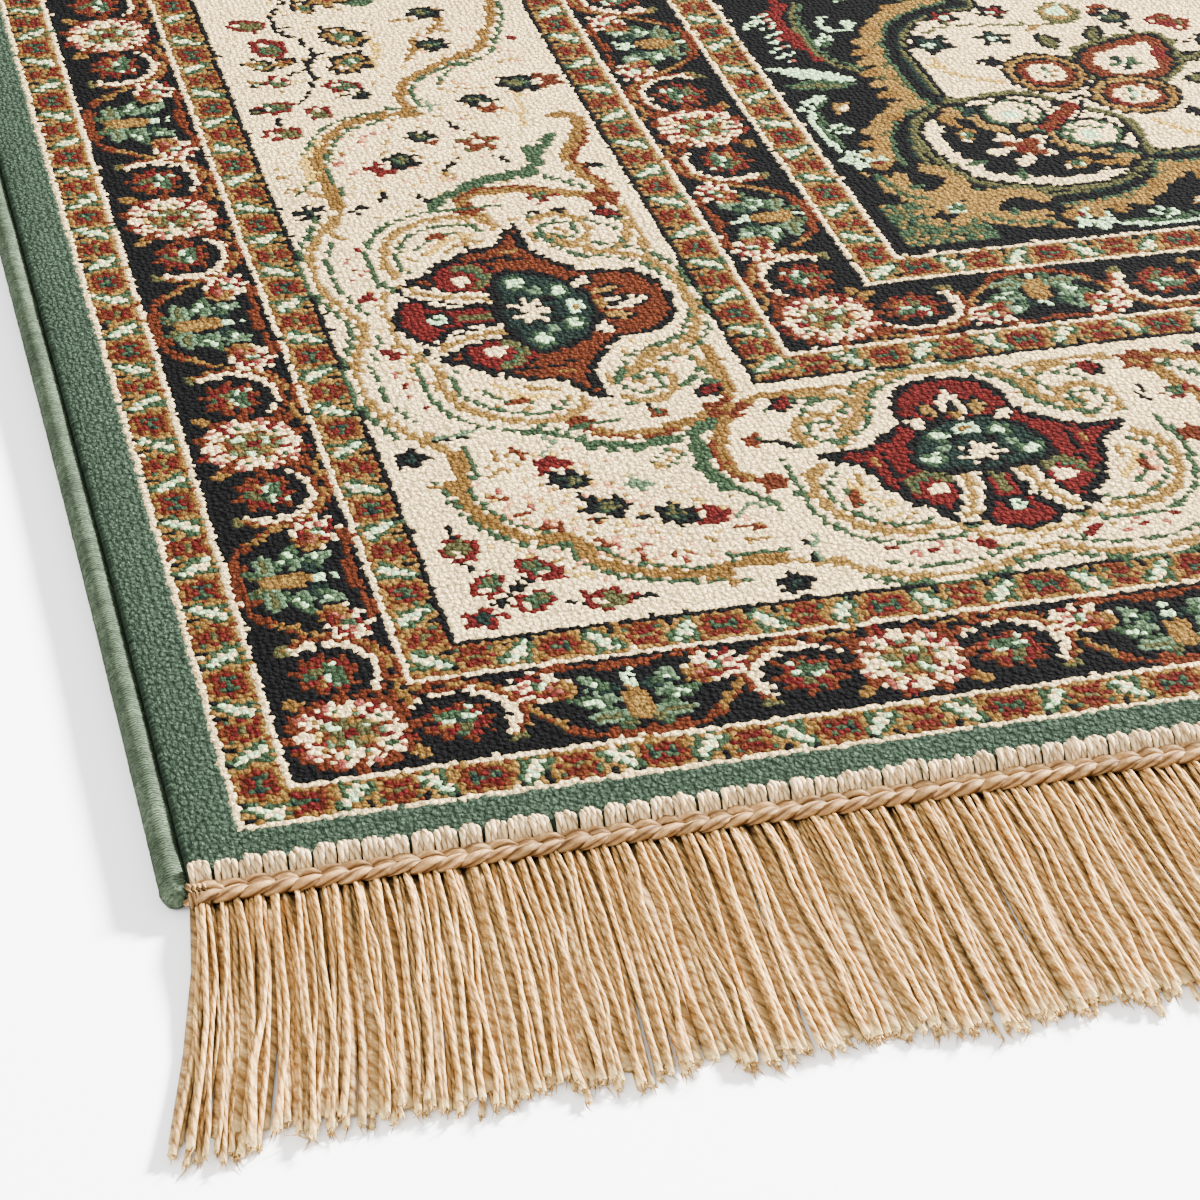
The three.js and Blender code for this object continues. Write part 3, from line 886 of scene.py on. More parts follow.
# One side of the corner, from the diagonal up
def fieldSide(side):
    foliage(side)
    # Hook of the tan band round a dark hole
    patch(side, [(3.8, 34), (6, 29.4), (7.4, 23.4), (11.4, 18.6), (17.6, 18.4), (21.4, 22.6), (21.4, 29),
                 (17.6, 34.4), (12, 33), (9, 31.4)], "t")
    oval(moved(side, 14.8, 28), 3.3, 3.9, "k")
    stroke(side, [(14.4, 30.6), (11, 35.4)], "k", 3.6)
    leaf(turned(moved(side, 9.2, 20.6), 100), 11.6, 4.2, "t")
    stroke(side, [(6.8, 31.4), (8.2, 27.6), (9.2, 23.4), (12.6, 20.6)], "g", 1.5)
    stroke(side, [(8.2, 27.6), (9.4, 23.8)], "l", 0.9)
    leaf(turned(moved(side, 10.8, 25.6), 20), 3.4, 2.2, "g")
    # Teeth on the outer side of the tan band
    for b in range(37, 108, 5):
        foot = np.interp(b, *bandRim)
        leaf(turned(moved(side, foot, b), 216), 5.4, 3.4, "o" if b % 2 else "t")
        stroke(side, [(foot + 0.6, b), (foot + 2.6, b + 2.4)], "l" if b % 2 else "o", 0.8)


# Scroll in the corner lobe, drawn on each side of the diagonal
def lobeScroll(side):
    drawLines(side, (
        ("n", 5.6, [(45.2, 40), (43.6, 44.8), (40.2, 46.4), (36.2, 48.6), (33.4, 53.6), (30, 56.6)]),
        ("t", 3.6, [(45, 41), (43.2, 44.6), (40.4, 45), (35.6, 46.4), (32.8, 52), (29.6, 55.4)]),
        ("g", 1.2, [(44.6, 42.6), (42.4, 46), (37.4, 48), (34.8, 53), (30.6, 57)]),
    ))
    oval(moved(side, 40.6, 52), 6.8, 6.6, "n")
    oval(moved(side, 40.6, 52), 5.9, 5.7, "g")
    oval(moved(side, 40.8, 52.2), 5, 4.8, "i")
    stroke(side, [(36.6, 49.2), (38.8, 47.8), (42, 48.6), (43.4, 51.2), (42.4, 54)], "g", 1.1)
    oval(moved(side, 39.8, 51.4), 2, 1.9, "w")
    leaf(turned(moved(side, 28.2, 47.4), 100), 8.6, 4.4, "n")
    leaf(turned(moved(side, 28.4, 48), 100), 7.2, 2.8, "o")
    leaf(turned(moved(side, 31, 51.4), 60), 5.4, 2.6, "d")
    leaf(turned(moved(side, 43, 27.8), 20), 5.6, 4.4, "n")
    goldFlower(moved(side, 44.6, 28.6), 3.4, 20)


def cornerLobe(home):
    rim = [(25.2, 25.6), (21.6, 33), (20, 40), (20.4, 48), (24.4, 54.6), (30.6, 58.6), (38.4, 60),
           (45.6, 59.4), (52.6, 52.6), (59.4, 45.6), (60, 38.4), (58.6, 30.6), (54.6, 24.4), (48, 20.4),
           (40, 20), (33, 21.6)]
    bands(home, rim, ((-1.6, 0, "l"), (0, 1, "n"), (1, 4.2, "i"), (4.2, inside, "k")))
    patch(home, [(46, 46), (52, 48), (56, 56), (48, 52)], "i", "n", 1)
    for side in (home, fieldMirror):
        lobeScroll(side)
    stroke(home, [(45, 44.4), (52.4, 52.6)], "b", 3.4)
    stroke(home, [(45.4, 45), (52, 52)], "r", 2.2)
    heart = turned(moved(home, 36.6, 36.6), 45)
    lobed(heart, 8.2, 1.4, 5, "k")
    lobed(moved(heart, 0.4, 0), 5.6, 1.4, 5, "i", turn=0.6)
    lobed(moved(heart, 1, 0), 3.6, 1.2, 4, "r")
    oval(moved(heart, 0.6, 0), 1.2, 1, "b")
    oval(moved(heart, -2.4, 0), 1.4, 2, "k")
    for side in (heart, dict(heart, inward=tuple(-v for v in heart["inward"]))):
        leaf(turned(moved(side, -2, 3), 60), 5, 2.4, "k")
        leaf(turned(moved(side, -7.4, 3.2), 150), 5, 2.2, "g")


# Buds of the ivory field beside the corner lobe
def fieldBuds(side):
    for x, y, size, turn, heart in ((36, 86, 4.8, 40, "d"), (49, 86.4, 3.6, 90, "d"),
                                    (42.6, 98.4, 3.6, 120, "b"), (53.6, 99, 3.4, 60, "b")):
        spot = turned(moved(side, x, y), turn)
        lobed(spot, size * 0.9, size * 0.22, 5, "n")
        lobed(spot, size * 0.55, size * 0.14, 4, heart)
        oval(moved(spot, -size * 0.15, 0), size * 0.26, size * 0.26, "w")
    spot = moved(side, 66.2, 95.4)
    oval(spot, 4.4, 5.4, "l")
    oval(moved(spot, 0, 0.8), 3, 4, "t")
    oval(moved(spot, 0, 1.2), 2, 2.9, "w")
    darkBud(moved(side, 76, 91.6), 4.4, 130, "r", (0.8, -0.5), 0.6)
    redFlower(moved(side, 85, 88), 3.4, 20, "r")
    drawLines(side, (
        ("l", 1, [(36, 91), (42, 94), (50, 92.6), (58, 91), (66, 90)]),
        ("n", 1, [(76.6, 87), (78, 80), (76, 74)]),
        ("f", 1.6, [(33, 76), (37, 70), (43, 66)]),
        ("f", 1.4, [(34, 80), (35, 75)]),
        ("t", 1.2, [(57, 88), (61, 91)]),
    ))


def cornerField(home):
    cornerLobe(home)
    for side in (home, fieldMirror):
        fieldBuds(side)
        leaf(turned(moved(side, 48, 74), 160), 7, 3.6, "n")
        leaf(turned(moved(side, 60, 78), 100), 9, 5, "n")
        leaf(turned(moved(side, 60, 78.4), 100), 7, 2.6, "l")
        leaf(turned(moved(side, 68, 80), 70), 9, 4.4, "n")
        leaf(turned(moved(side, 68, 80.6), 70), 7, 2.2, "l")
    pointedRose(moved(home, 70.4, 69.6))
    stroke(home, [(60.6, 60.6), (63.4, 63)], "n", 3)
    ringRose(moved(home, 53.4, 68), 8.6, 9.6)
    ringRose(moved(home, 66.6, 54.8), 9.2, 9)


def fieldOutline(lengthwise):
    # Scallops from the corner outwards along one side, to the middle and beyond
    first = [(17.4, 28.2), (15.2, 35), (15.4, 43.6), (18.2, 51.6), (22.8, 56), (29, 58), (29, 58),
             (27.4, 62), (26.6, 70), (26.8, 80), (28.6, 90), (33, 97.6), (40, 102.6), (47.6, 104.4),
             (47.6, 104.4)]
    if lengthwise:
        return first + [(45, 112), (43.6, 124), (44.6, 140), (49, 152), (57, 159), (57, 159),
                        (52, 170), (50, 186), (51.6, 206), (57.6, 222), (66, 231), (66, 231),
                        (58, 244), (54, 262), (54, 290), (59, 316), (70, 332), (70, 332),
                        (60, 344), (52, 362), (49, 388), (48.4, 420)]
    return first + [(45, 112), (43.6, 122), (46, 134), (53, 144), (62, 148), (62, 148),
                    (54, 158), (47, 176), (44, 200), (43, 224), (43, 254)]


def paintField():
    home = fieldHome
    up, out = fieldOutline(True), fieldOutline(False)
    ring = [(23.2, 23.6)] + up + [(300, 440), (300, 440)] + [(b, a) for a, b in out[::-1]]
    bands(home, ring, ((-5.6, -1.9, "t"), (-1.9, -1, "g"), (-1, 1.5, "k"), (1.5, 2.1, "d"), (2.1, 3.1, "l"),
                       (3.1, 4.1, "n"), (4.1, inside, "i")))
    # Green cluster in the very corner
    part, a, b = window(moved(home, 11.5, 11.5), 9)
    spot = (np.abs(a) < 8.6) & (np.abs(b) < 8.6) & (a + b < 9)
    part[spot] = inkOf["g"]
    part[spot & (((a.astype(int) + 20) % 5 == 0) | ((b.astype(int) + 20) % 5 == 0))] = inkOf["l"]
    part[spot & (dice.random(part.shape) < 0.16)] = inkOf["d"]
    part[spot & (dice.random(part.shape) < 0.14)] = inkOf["t"]
    lobed(moved(home, 14, 14), 4.4, 1.2, 5, "t")
    lobed(moved(home, 13.4, 13.4), 2, 0.6, 4, "k")
    whiteFlower(moved(home, 16.8, 16), 2)
    fieldSide(home)
    fieldSide(fieldMirror)
    cornerField(home)
    fieldMiddle(home)
    medallion(placeAt(cols, rows, (-1, 0), (0, -1)))


# The same points on all four sides of a middle
def fourfold(points):
    upper = points + [(-a, b) for a, b in points[::-1]]
    return upper + [(-a, -b) for a, b in upper[1:-1]]


def medallion(middle):
    lobes = [(100, 0), (101, 14), (96, 26), (84, 34), (84, 34), (90, 46), (88, 60), (79, 70), (66, 75),
             (66, 75), (70, 88), (64, 100), (52, 107), (38, 108), (38, 108), (37, 124), (27, 138),
             (12, 147), (0, 156)]
    bands(middle, fourfold(lobes), ((-5.6, -1.9, "t"), (-1.9, -1, "g"), (-1, 1.5, "k"), (1.5, 3.1, "l"),
                                    (3.1, 4.1, "n"), (4.1, 7.6, "i"), (7.6, 8.6, "n"), (8.6, inside, "k")))
    bands(middle, fourfold([(a * 0.62, b * 0.62) for a, b in lobes]),
          ((-3, -1.8, "o"), (-1.8, -0.8, "n"), (-0.8, 2.6, "r"), (2.6, 3.6, "n"), (3.6, inside, "i")))
    bands(middle, fourfold([(a * 0.30, b * 0.30) for a, b in lobes]),
          ((-1.8, -0.8, "n"), (-0.8, 1.2, "g"), (1.2, 2.2, "n"), (2.2, inside, "b")))
    lobed(middle, 15, 2.4, 10, "n")
    lobed(middle, 13.6, 2.2, 10, "i")
    lobed(middle, 8.6, 1, 10, "o")
    lobed(middle, 5.6, 0.8, 8, "b")
    lobed(middle, 3, 0.5, 6, "w")
    for a, b, size in ((78, 10, 6.4), (72, 54, 6.2), (54, 88, 6.4), (16, 120, 6.2), (82, 0, 3),
                       (0, 108, 5.6)):
        spot = moved(middle, a, b)
        goldFlower(spot, size, a + b, "b")
        for n in range(3):
            leaf(turned(spot, 120 * n + 30 + a), size * 1.9, 2.6, "g")
        whiteFlower(spot, size * 0.42)
    drawLines(middle, (
        ("g", 1.4, [(86, 6), (84, 22), (74, 34), (80, 48), (70, 60), (58, 70), (60, 88), (46, 98),
                    (30, 100), (24, 118), (10, 132), (0, 138)]),
        ("t", 1.2, [(72, 4), (74, 18), (68, 28), (68, 42), (60, 56)]),
        ("t", 1.2, [(44, 80), (34, 92), (22, 100), (14, 112)]),
    ))
    for a, b, size in ((48, 12, 4.6), (44, 32, 4.2), (34, 50, 4.4), (14, 60, 4.6), (34, 20, 3.4),
                       (20, 46, 3.4), (6, 76, 4)):
        redFlower(moved(middle, a, b), size, 3 * a + b)
        leaf(turned(moved(middle, a + 4, b + 4), 40 + a), 6, 2.2, "g")
        leaf(turned(moved(middle, a - 4, b + 3), 130 + a), 5, 1.8, "l")
    drawLines(middle, (
        ("n", 1, [(52, 4), (46, 20), (40, 40), (28, 54), (12, 66), (0, 70)]),
        ("o", 1.2, [(36, 8), (30, 26), (24, 40), (10, 52)]),
    ))
    ringRose(moved(middle, 0, 172), 12, 13)
    leaf(turned(moved(middle, 0, 184), 90), 16, 7, "n")
    leaf(turned(moved(middle, 0, 185), 90), 13, 4.4, "r")


# Loose sprays on the ivory field
def fieldSpray(place):
    drawLines(place, (
        ("n", 1.1, [(-30, -4), (-20, -9), (-9, -8), (0, -1), (9, 7), (19, 8), (28, 2)]),
        ("g", 1.1, [(0, -1), (3, -11), (11, -17), (20, -17)]),
        ("g", 1.1, [(-9, -8), (-13, 3), (-10, 13), (-2, 18)]),
        ("o", 1.6, [(9, 7), (8, 16), (14, 23), (23, 24)]),
    ))
    redFlower(moved(place, -31, -3), 5, 30)
    goldFlower(moved(place, 0, 0), 5.6, 60, "b")
    goldFlower(moved(place, 29, 1), 5, 10)
    redFlower(moved(place, 21, -17), 4.4, 80, "l")
    redFlower(moved(place, -1, 19), 4.6, 140)
    darkBud(moved(place, 25, 24), 4.6, 40, "r", (0.9, 0.4), 0.6)
    darkBud(moved(place, -20, -15), 3.8, 200, "b", (0.8, 0.5), 0.6)
    for a, b, turn, ink in ((-24, -6, 60, "g"), (-15, -9, 120, "l"), (6, 5, -40, "g"), (14, 9, 70, "l"),
                            (4, -10, 200, "l"), (-12, 8, 170, "g"), (22, 6, -60, "g"), (9, 19, 10, "l")):
        leaf(turned(moved(place, a, b), turn), 6.4, 2.6, ink)


def fieldMiddle(home):
    for a, b, turn in ((92, 132, 30), (150, 96, -20), (210, 92, 20), (96, 196, 80), (112, 262, 60),
                       (86, 318, 100), (104, 372, 85), (160, 172, 40)):
        fieldSpray(turned(moved(home, a, b), turn))
    for a, b in ((120, 100), (70, 116), (128, 150), (182, 120), (84, 160), (230, 130), (124, 220),
                 (84, 232), (110, 296), (84, 350), (112, 340), (132, 190), (196, 150), (150, 130)):
        darkBud(moved(home, a, b), 3.6, 7 * a + b, "r", (0.9, 0.3), 0.6)
    # The foliage again, further along the field's edge, by turns the right way round and mirrored
    for run, side in ((rows - fieldEdge, home), (cols - fieldEdge, fieldMirror)):
        for start, way in ((226, -1), (156, 1), (382, -1), (312, 1)):
            if start - foliageLength < run:
                bx, by = side["inward"]
                foliage(dict(moved(side, 0, start), inward=(bx * way, by * way)))
        for b in range(116, run, 9):
            at = moved(side, 30 + 5 * sin(b / 11), b)
            leaf(turned(at, 60 + 3 * (b % 40)), 8, 3, "g" if b % 2 else "l")
            whiteFlower(moved(at, 0, -4), 1.8)


# Guard stripes: the outer edge and the first rosette in knots, whether the plain rosette comes first, and
# whether the dots lie on the outer side
guards = ((9, 18, False, True), (38, 48, True, False), (111, 122, True, True), (140, 150, False, False))
navyEdges = ((17, 1), (119, -1))       # the outer edge, and -1 where the ornament is turned outwards
slips = ((0, 0.035), (1, 0.02))        # the share of knots that slip along a column, and along a row


def drawRug():
    paintStripes()
    for guard in guards:
        paintGuard(*guard)
    for edge, out in navyEdges:
        navyBorder(edge, out)
    mainBorder()
    paintField()
    # Here and there a knot has the colour of the next one in its column or row, but not at the quarter's rim
    for axis, share in slips:
        slipped = dice.random(chart.shape) < share
        slipped[[0, -1]] = False
        slipped[:, [0, -1]] = False
        chart[slipped] = np.roll(chart, dice.choice((-1, 1)), axis=axis)[slipped]


# Short ways to build a material: put adds a node, calc a math node, and both take numbers or sockets
class Recipe:
    def __init__(self, name):
        self.material = bpy.data.materials.new(name)
        self.material.use_nodes = True
        self.tree = self.material.node_tree
        self.shader = self.tree.nodes["Principled BSDF"]

    def put(self, kind, inputs=None, **settings):
        node = self.tree.nodes.new(kind)
        for name, value in settings.items():
            setattr(node, name, value)
        for name, value in (inputs or {}).items():
            self.feed(node.inputs[name], value)
        return node

    def feed(self, socket, value):
        if isinstance(value, bpy.types.NodeSocket):
            self.tree.links.new(value, socket)
        elif hasattr(socket.default_value, "__len__") and hasattr(value, "__len__"):
            socket.default_value = (*value, 1)[: len(socket.default_value)]
        else:
            socket.default_value = value

    def calc(self, operation, *values):
        return self.put("ShaderNodeMath", dict(enumerate(values)), operation=operation).outputs[0]

    def vector(self, operation, *values):
        return self.put("ShaderNodeVectorMath", dict(enumerate(values)), operation=operation).outputs[0]

    def split(self, vector):
        return self.put("ShaderNodeSeparateXYZ", {0: vector}).outputs

    def join(self, x, y, z=0.0):
        return self.put("ShaderNodeCombineXYZ", {0: x, 1: y, 2: z}).outputs[0]

    def spread(self, value, low, high, toLow, toHigh):
        node = self.put("ShaderNodeMapRange", clamp=True)
        for n, v in enumerate((value, low, high, toLow, toHigh)):
            self.feed(node.inputs[n], v)
        return node.outputs[0]

    def noise(self, vector, scale, detail, rough, dims="3D"):
        node = self.put("ShaderNodeTexNoise", {"Scale": scale, "Detail": detail, "Roughness": rough},
                        noise_dimensions=dims)
        self.feed(node.inputs["Vector"], vector)
        return node.outputs["Fac"]

    def mix(self, share, one, other):
        node = self.put("ShaderNodeMix", data_type="RGBA", blend_type="MIX")
        self.feed(node.inputs[0], share)
        self.feed(node.inputs[6], one)
        self.feed(node.inputs[7], other)
        return node.outputs[2]

    def shade(self, colour, factor):
        return self.put("ShaderNodeVectorMath", {0: colour, "Scale": factor}, operation="SCALE").outputs[0]

    def bump(self, height, distance):
        node = self.put("ShaderNodeBump", {"Height": height, "Distance": distance, "Strength": 1.0})
        return node.outputs[0]


# Faces of four points each, from four arrays of point numbers
def fours(*corners):
    return np.stack(corners, -1).reshape(-1, 4)


# A mesh from arrays of points and faces, with its UVs given per face corner
def meshPiece(name, points, faces, uvs, uvName):
    mesh = bpy.data.meshes.new(name)
    sizes = np.concatenate([np.full(len(f), f.shape[1]) for f in faces])
    corners = np.concatenate([f.ravel() for f in faces]).astype(np.int32)
    mesh.vertices.add(len(points))
    mesh.vertices.foreach_set("co", np.asarray(points, dtype=np.float32).ravel())
    mesh.loops.add(len(corners))
    mesh.loops.foreach_set("vertex_index", corners)
    mesh.polygons.add(len(sizes))
    mesh.polygons.foreach_set("loop_start", np.concatenate([[0], np.cumsum(sizes)[:-1]]).astype(np.int32))
    layer = mesh.uv_layers.new(name=uvName)
    layer.uv.foreach_set("vector", np.asarray(uvs, dtype=np.float32).ravel())
    mesh.update(calc_edges=True)
    mesh.validate()
    mesh.shade_smooth()
    piece = bpy.data.objects.new(name, mesh)
    scene.collection.objects.link(piece)
    return piece


def finishPiece(piece, material, nodes=()):
    piece.data.materials.clear()
    piece.data.materials.append(material)
    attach(piece, "root")
    if nodes:
        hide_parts(*nodes)


def triangles(piece):
    return sum(len(p.vertices) - 2 for p in piece.data.polygons)


# The rug's own sizes, the same as in the part's source, in metres
rug = {
    "knot": 2.0 * mm,
    "across": 2 * cols,       # knots
    "along": 2 * rows,
    "thickness": 9.0 * mm,
    "ground": 2.4 * mm,       # the bare woven cloth
    "bareEnd": 3.5 * mm,
    "shoulder": 1.2 * mm,     # how far the pile's edge is rounded
    "driftMain": 1.2 * mm,    # how far the long sides wander, in one wave and in a shorter one
    "driftMinor": 0.45 * mm,
    "driftWaves": 3.5,
}
halfWidth = rug["across"] * rug["knot"] / 2
halfLength = rug["along"] * rug["knot"] / 2
clothEnd = halfLength + rug["bareEnd"]


# The long sides' gentle drift
def drift(y):
    along = pi * (y + clothEnd) / clothEnd
    return rug["driftMain"] * np.sin(along) + rug["driftMinor"] * np.sin(along * rug["driftWaves"])


# Pile: the chart is stored on the faces, each face with its own knots and one knot more all round.
# A face is 4 by 7 knots, a row of 6 knots is one number of 24 bits, and 9 rows are three vectors.
pile = {
    "faceAcross": 4,
    "faceAlong": 7,
    "swell": 0.35 * mm,       # how far the top rises and falls
    "swellFrom": 12,          # knots from the edge to where it does so fully
    "endHeight": 7.6 * mm,    # where the stitches press the pile down
    "flare": 0.4 * mm,        # how far the wall stands out at its top
    "bump": 0.9 * mm,         # depth of the tufts' relief
}
inkBits = 4                   # one knot's yarn in a packed row
inkCount = 2 ** inkBits
onEnd = 1e-6                  # a point this near to the pile's end counts as on it


# The quarter, mirrored across and along
def wholeChart():
    half = np.concatenate([chart, chart[:, ::-1]], axis=1)
    return np.concatenate([half, half[::-1]], axis=0)


def packKnots(knots):
    fa, fl = pile["faceAcross"], pile["faceAlong"]
    padded = np.pad(knots, 1, mode="edge").astype(np.int64)
    rowsOfFace = []
    for r in range(fl + 2):
        packed = 0
        for c in range(fa + 2):
            packed = packed + (padded[r:r + rug["along"]:fl, c:c + rug["across"]:fa] << (inkBits * c))
        rowsOfFace.append(packed)
    return np.stack(rowsOfFace, axis=-1).astype(np.float32)


def makePile(knots):
    fa, fl = pile["faceAcross"], pile["faceAlong"]
    nx, ny = rug["across"] // fa, rug["along"] // fl
    packed = packKnots(knots).reshape(ny * nx, fl + 2)
    gx = np.arange(nx + 1) * float(fa)
    gy = np.arange(ny + 1) * float(fl)
    kx, ky = np.meshgrid(gx, gy)
    y = ky * rug["knot"] - halfLength
    x = kx * rug["knot"] - halfWidth
    inset = rug["shoulder"]
    topX = np.clip(x, -halfWidth + inset, halfWidth - inset) + drift(y)
    topY = np.clip(y, -halfLength + inset, halfLength - inset)
    edge = np.minimum(np.minimum(kx, rug["across"] - kx), np.minimum(ky, rug["along"] - ky))
    # Crossed waves, so that no stretch of the top repeats another
    swell = pile["swell"] * (np.sin(x * 21 + 1.3 * np.sin(y * 9)) * np.sin(y * 17 + x * 5) - 0.4)
    topZ = rug["thickness"] + swell * np.clip(edge / pile["swellFrom"], 0, 1)
    atEnd = (ky < 1) | (ky > rug["along"] - 1)
    topZ = np.where(atEnd, pile["endHeight"], topZ)
    top = np.stack([topX, topY, topZ], axis=-1).reshape(-1, 3)
    # The rim runs round the pile's edge, from the top down the wall, over the bare ground and under
    index = np.arange((nx + 1) * (ny + 1)).reshape(ny + 1, nx + 1)
    rim = np.concatenate([index[0, :-1], index[:-1, -1], index[-1, :0:-1], index[:0:-1, 0]])
    rimX, rimY = x.ravel()[rim], y.ravel()[rim]
    rings = []
    # Each step: how far in from the edge, how far out over the bare end, and its height
    steps = (
        (0.2 * inset, 0.0, rug["thickness"] - 0.35 * inset),
        (-pile["flare"], 0.0, rug["thickness"] - inset),
        (0.0, 0.0, rug["ground"]),
        (0.0, rug["bareEnd"], rug["ground"]),
        (0.0, rug["bareEnd"], 0.0),
    )
    drop = np.where(atEnd.ravel()[rim], rug["thickness"] - pile["endHeight"], 0.0)
    for into, past, z in steps:
        px = np.clip(rimX, -halfWidth + into, halfWidth - into) + drift(rimY)
        end = halfLength - into + past
        py = np.where(np.abs(rimY) > halfLength - onEnd, np.sign(rimY) * end, rimY)
        rings.append(np.stack([px, py, z - drop * (z > rug["ground"])], axis=-1))
    underY = np.where(np.abs(y) > halfLength - onEnd, np.sign(y) * clothEnd, y)
    under = np.stack([x + drift(y), underY, np.zeros_like(x)], axis=-1).reshape(-1, 3)
    points = np.concatenate([top, *rings, under])
    count = len(rim)
    firstRing = len(top)
    firstUnder = len(top) + count * len(rings)
    face = fours(index[:-1, :-1], index[:-1, 1:], index[1:, 1:], index[1:, :-1])
    loops = [rim] + [firstRing + n * count + np.arange(count) for n in range(len(rings))]
    walls = [fours(above, below, np.roll(below, -1), np.roll(above, -1))
             for above, below in zip(loops[:-1], loops[1:])]
    # The last ring is the edge of the underside
    sharedPoint = np.arange(len(points))
    sharedPoint[rim + firstUnder] = loops[-1]
    lower = sharedPoint[index + firstUnder]
    underside = fours(lower[:-1, :-1], lower[1:, :-1], lower[1:, 1:], lower[:-1, 1:])
    faces = np.concatenate([face, *walls, underside])
    # Knot coordinates at each corner: the walls keep those of the edge above them
    knotXY = np.stack([kx, ky], axis=-1).reshape(-1, 2)
    ofPoint = np.concatenate([knotXY] + [knotXY[rim]] * len(rings) + [knotXY])
    uvs = ofPoint[faces.ravel()]
    piece = meshPiece("pile_cloth", points, [faces], uvs, "knots")
    wallCount = sum(len(w) for w in walls)
    edgeRow = sum(inkOf["e"] << (inkBits * c) for c in range(fa + 2))
    wallRows = np.full((wallCount, fl + 2), edgeRow, dtype=np.float32)
    perFace = np.concatenate([packed, wallRows, packed])
    for n in range(3):
        layer = piece.data.attributes.new("rows" + str(n), "FLOAT_VECTOR", "FACE")
        layer.data.foreach_set("vector", perFace[:, 3 * n:3 * n + 3].ravel())
    slots = np.concatenate([np.zeros(len(face) + wallCount), np.ones(len(underside))])
    return piece, slots.astype(np.int32)


# The yarn colour of one knot, from the numbers stored on the face
def knotColour(r, gx, gy, cellX, cellY):
    fa, fl = pile["faceAcross"], pile["faceAlong"]
    firstX = r.calc("MULTIPLY_ADD", r.calc("FLOOR", r.calc("DIVIDE", gx, fa)), fa, -1.0)
    firstY = r.calc("MULTIPLY_ADD", r.calc("FLOOR", r.calc("DIVIDE", gy, fl)), fl, -1.0)
    column = r.calc("MINIMUM", r.calc("MAXIMUM", r.calc("SUBTRACT", cellX, firstX), 0.0), fa + 1.0)
    row = r.calc("MINIMUM", r.calc("MAXIMUM", r.calc("SUBTRACT", cellY, firstY), 0.0), fl + 1.0)
    value = 0.0
    for n in range(3):
        stored = r.put("ShaderNodeAttribute", attribute_type="GEOMETRY", attribute_name="rows" + str(n))
        for m, part in enumerate(r.split(stored.outputs["Vector"])):
            chosen = r.calc("COMPARE", row, 3.0 * n + m, 0.4)
            value = r.calc("MULTIPLY_ADD", chosen, part, value)
    divisor = 1.0
    for n in range(fa + 1):
        past = r.calc("GREATER_THAN", column, n + 0.5)
        divisor = r.calc("MULTIPLY_ADD", past, (inkCount - 1.0) * inkCount ** n, divisor)
    shifted = r.calc("FLOOR", r.calc("DIVIDE", value, divisor))
    ink = r.calc("FLOORED_MODULO", shifted, float(inkCount))
    ramp = r.put("ShaderNodeValToRGB", {0: r.calc("MULTIPLY_ADD", ink, 1 / inkCount, 0.5 / inkCount)})
    ramp.color_ramp.interpolation = "CONSTANT"
    stops = ramp.color_ramp.elements
    for n, (_, colour) in enumerate(yarn.values()):
        stop = stops[n] if n < 2 else stops.new(n / inkCount)
        stop.position = n / inkCount
        stop.color = (*colour, 1)
    return ramp.outputs["Color"]


def pileMaterial():
    r = Recipe("cutPile")
    knots = r.put("ShaderNodeUVMap", uv_map="knots").outputs["UV"]
    gx, gy = r.split(knots)[:2]
    # Each tuft is a cell round a scattered point, and takes the colour of the knot that holds the point
    wander = r.put("ShaderNodeTexNoise", {"Vector": knots, "Scale": 0.9, "Detail": 1.0},
                   noise_dimensions="2D")
    pushed = r.vector("MULTIPLY_ADD", r.vector("SUBTRACT", wander.outputs["Color"], (0.5, 0.5, 0.5)),
                      (0.5, 0.9, 0.0), knots)
    tufts = r.put("ShaderNodeTexVoronoi", {"Vector": pushed, "Scale": 1.0, "Randomness": 0.72},
                  voronoi_dimensions="2D", feature="F1")
    place = r.split(tufts.outputs["Position"])
    cellX = r.calc("FLOOR", place[0])
    cellY = r.calc("FLOOR", place[1])
    colour = knotColour(r, gx, gy, cellX, cellY)
    dome = r.spread(tufts.outputs["Distance"], 0.05, 0.75, 1.0, 0.0)
    single = r.put("ShaderNodeTexWhiteNoise", {"Vector": r.join(cellX, cellY)}, noise_dimensions="2D")
    ends = r.noise(r.vector("MULTIPLY", knots, (3.6, 1.5, 1.0)), 1.0, 3.0, 0.7, "2D")
    broad = r.noise(knots, 0.035, 3.0, 0.6, "2D")
    # Painted shade: each tuft is darker towards its rim, in the pits between the tufts
    tone = r.spread(dome, 0.0, 1.0, 0.42, 1.12)
    tone = r.calc("MULTIPLY", tone, r.spread(single.outputs["Value"], 0.0, 1.0, 0.80, 1.16))
    tone = r.calc("MULTIPLY", tone, r.spread(ends, 0.34, 0.68, 0.52, 1.55))
    tone = r.calc("MULTIPLY", tone, r.spread(broad, 0.3, 0.7, 0.94, 1.06))
    # Cut yarn ends that catch the light
    flecks = r.noise(r.vector("MULTIPLY", knots, (2.6, 1.1, 1.0)), 1.0, 2.0, 0.6, "2D")
    tone = r.calc("MULTIPLY", tone, r.spread(flecks, 0.50, 0.66, 0.88, 1.75))
    r.feed(r.shader.inputs["Base Color"], r.shade(colour, tone))
    height = r.calc("MULTIPLY_ADD", ends, 0.45, dome)
    r.feed(r.shader.inputs["Normal"], r.bump(height, pile["bump"]))
    r.shader.inputs["Roughness"].default_value = 1.0
    r.shader.inputs["Specular IOR Level"].default_value = 0.02
    return r.material


# The back shows the pattern as rows of flat loops between the weft, paler than the pile
back = {
    "haze": (0.40, 0.33, 0.22),
    "weft": (0.45, 0.37, 0.25),
    "bump": 0.5 * mm,
}


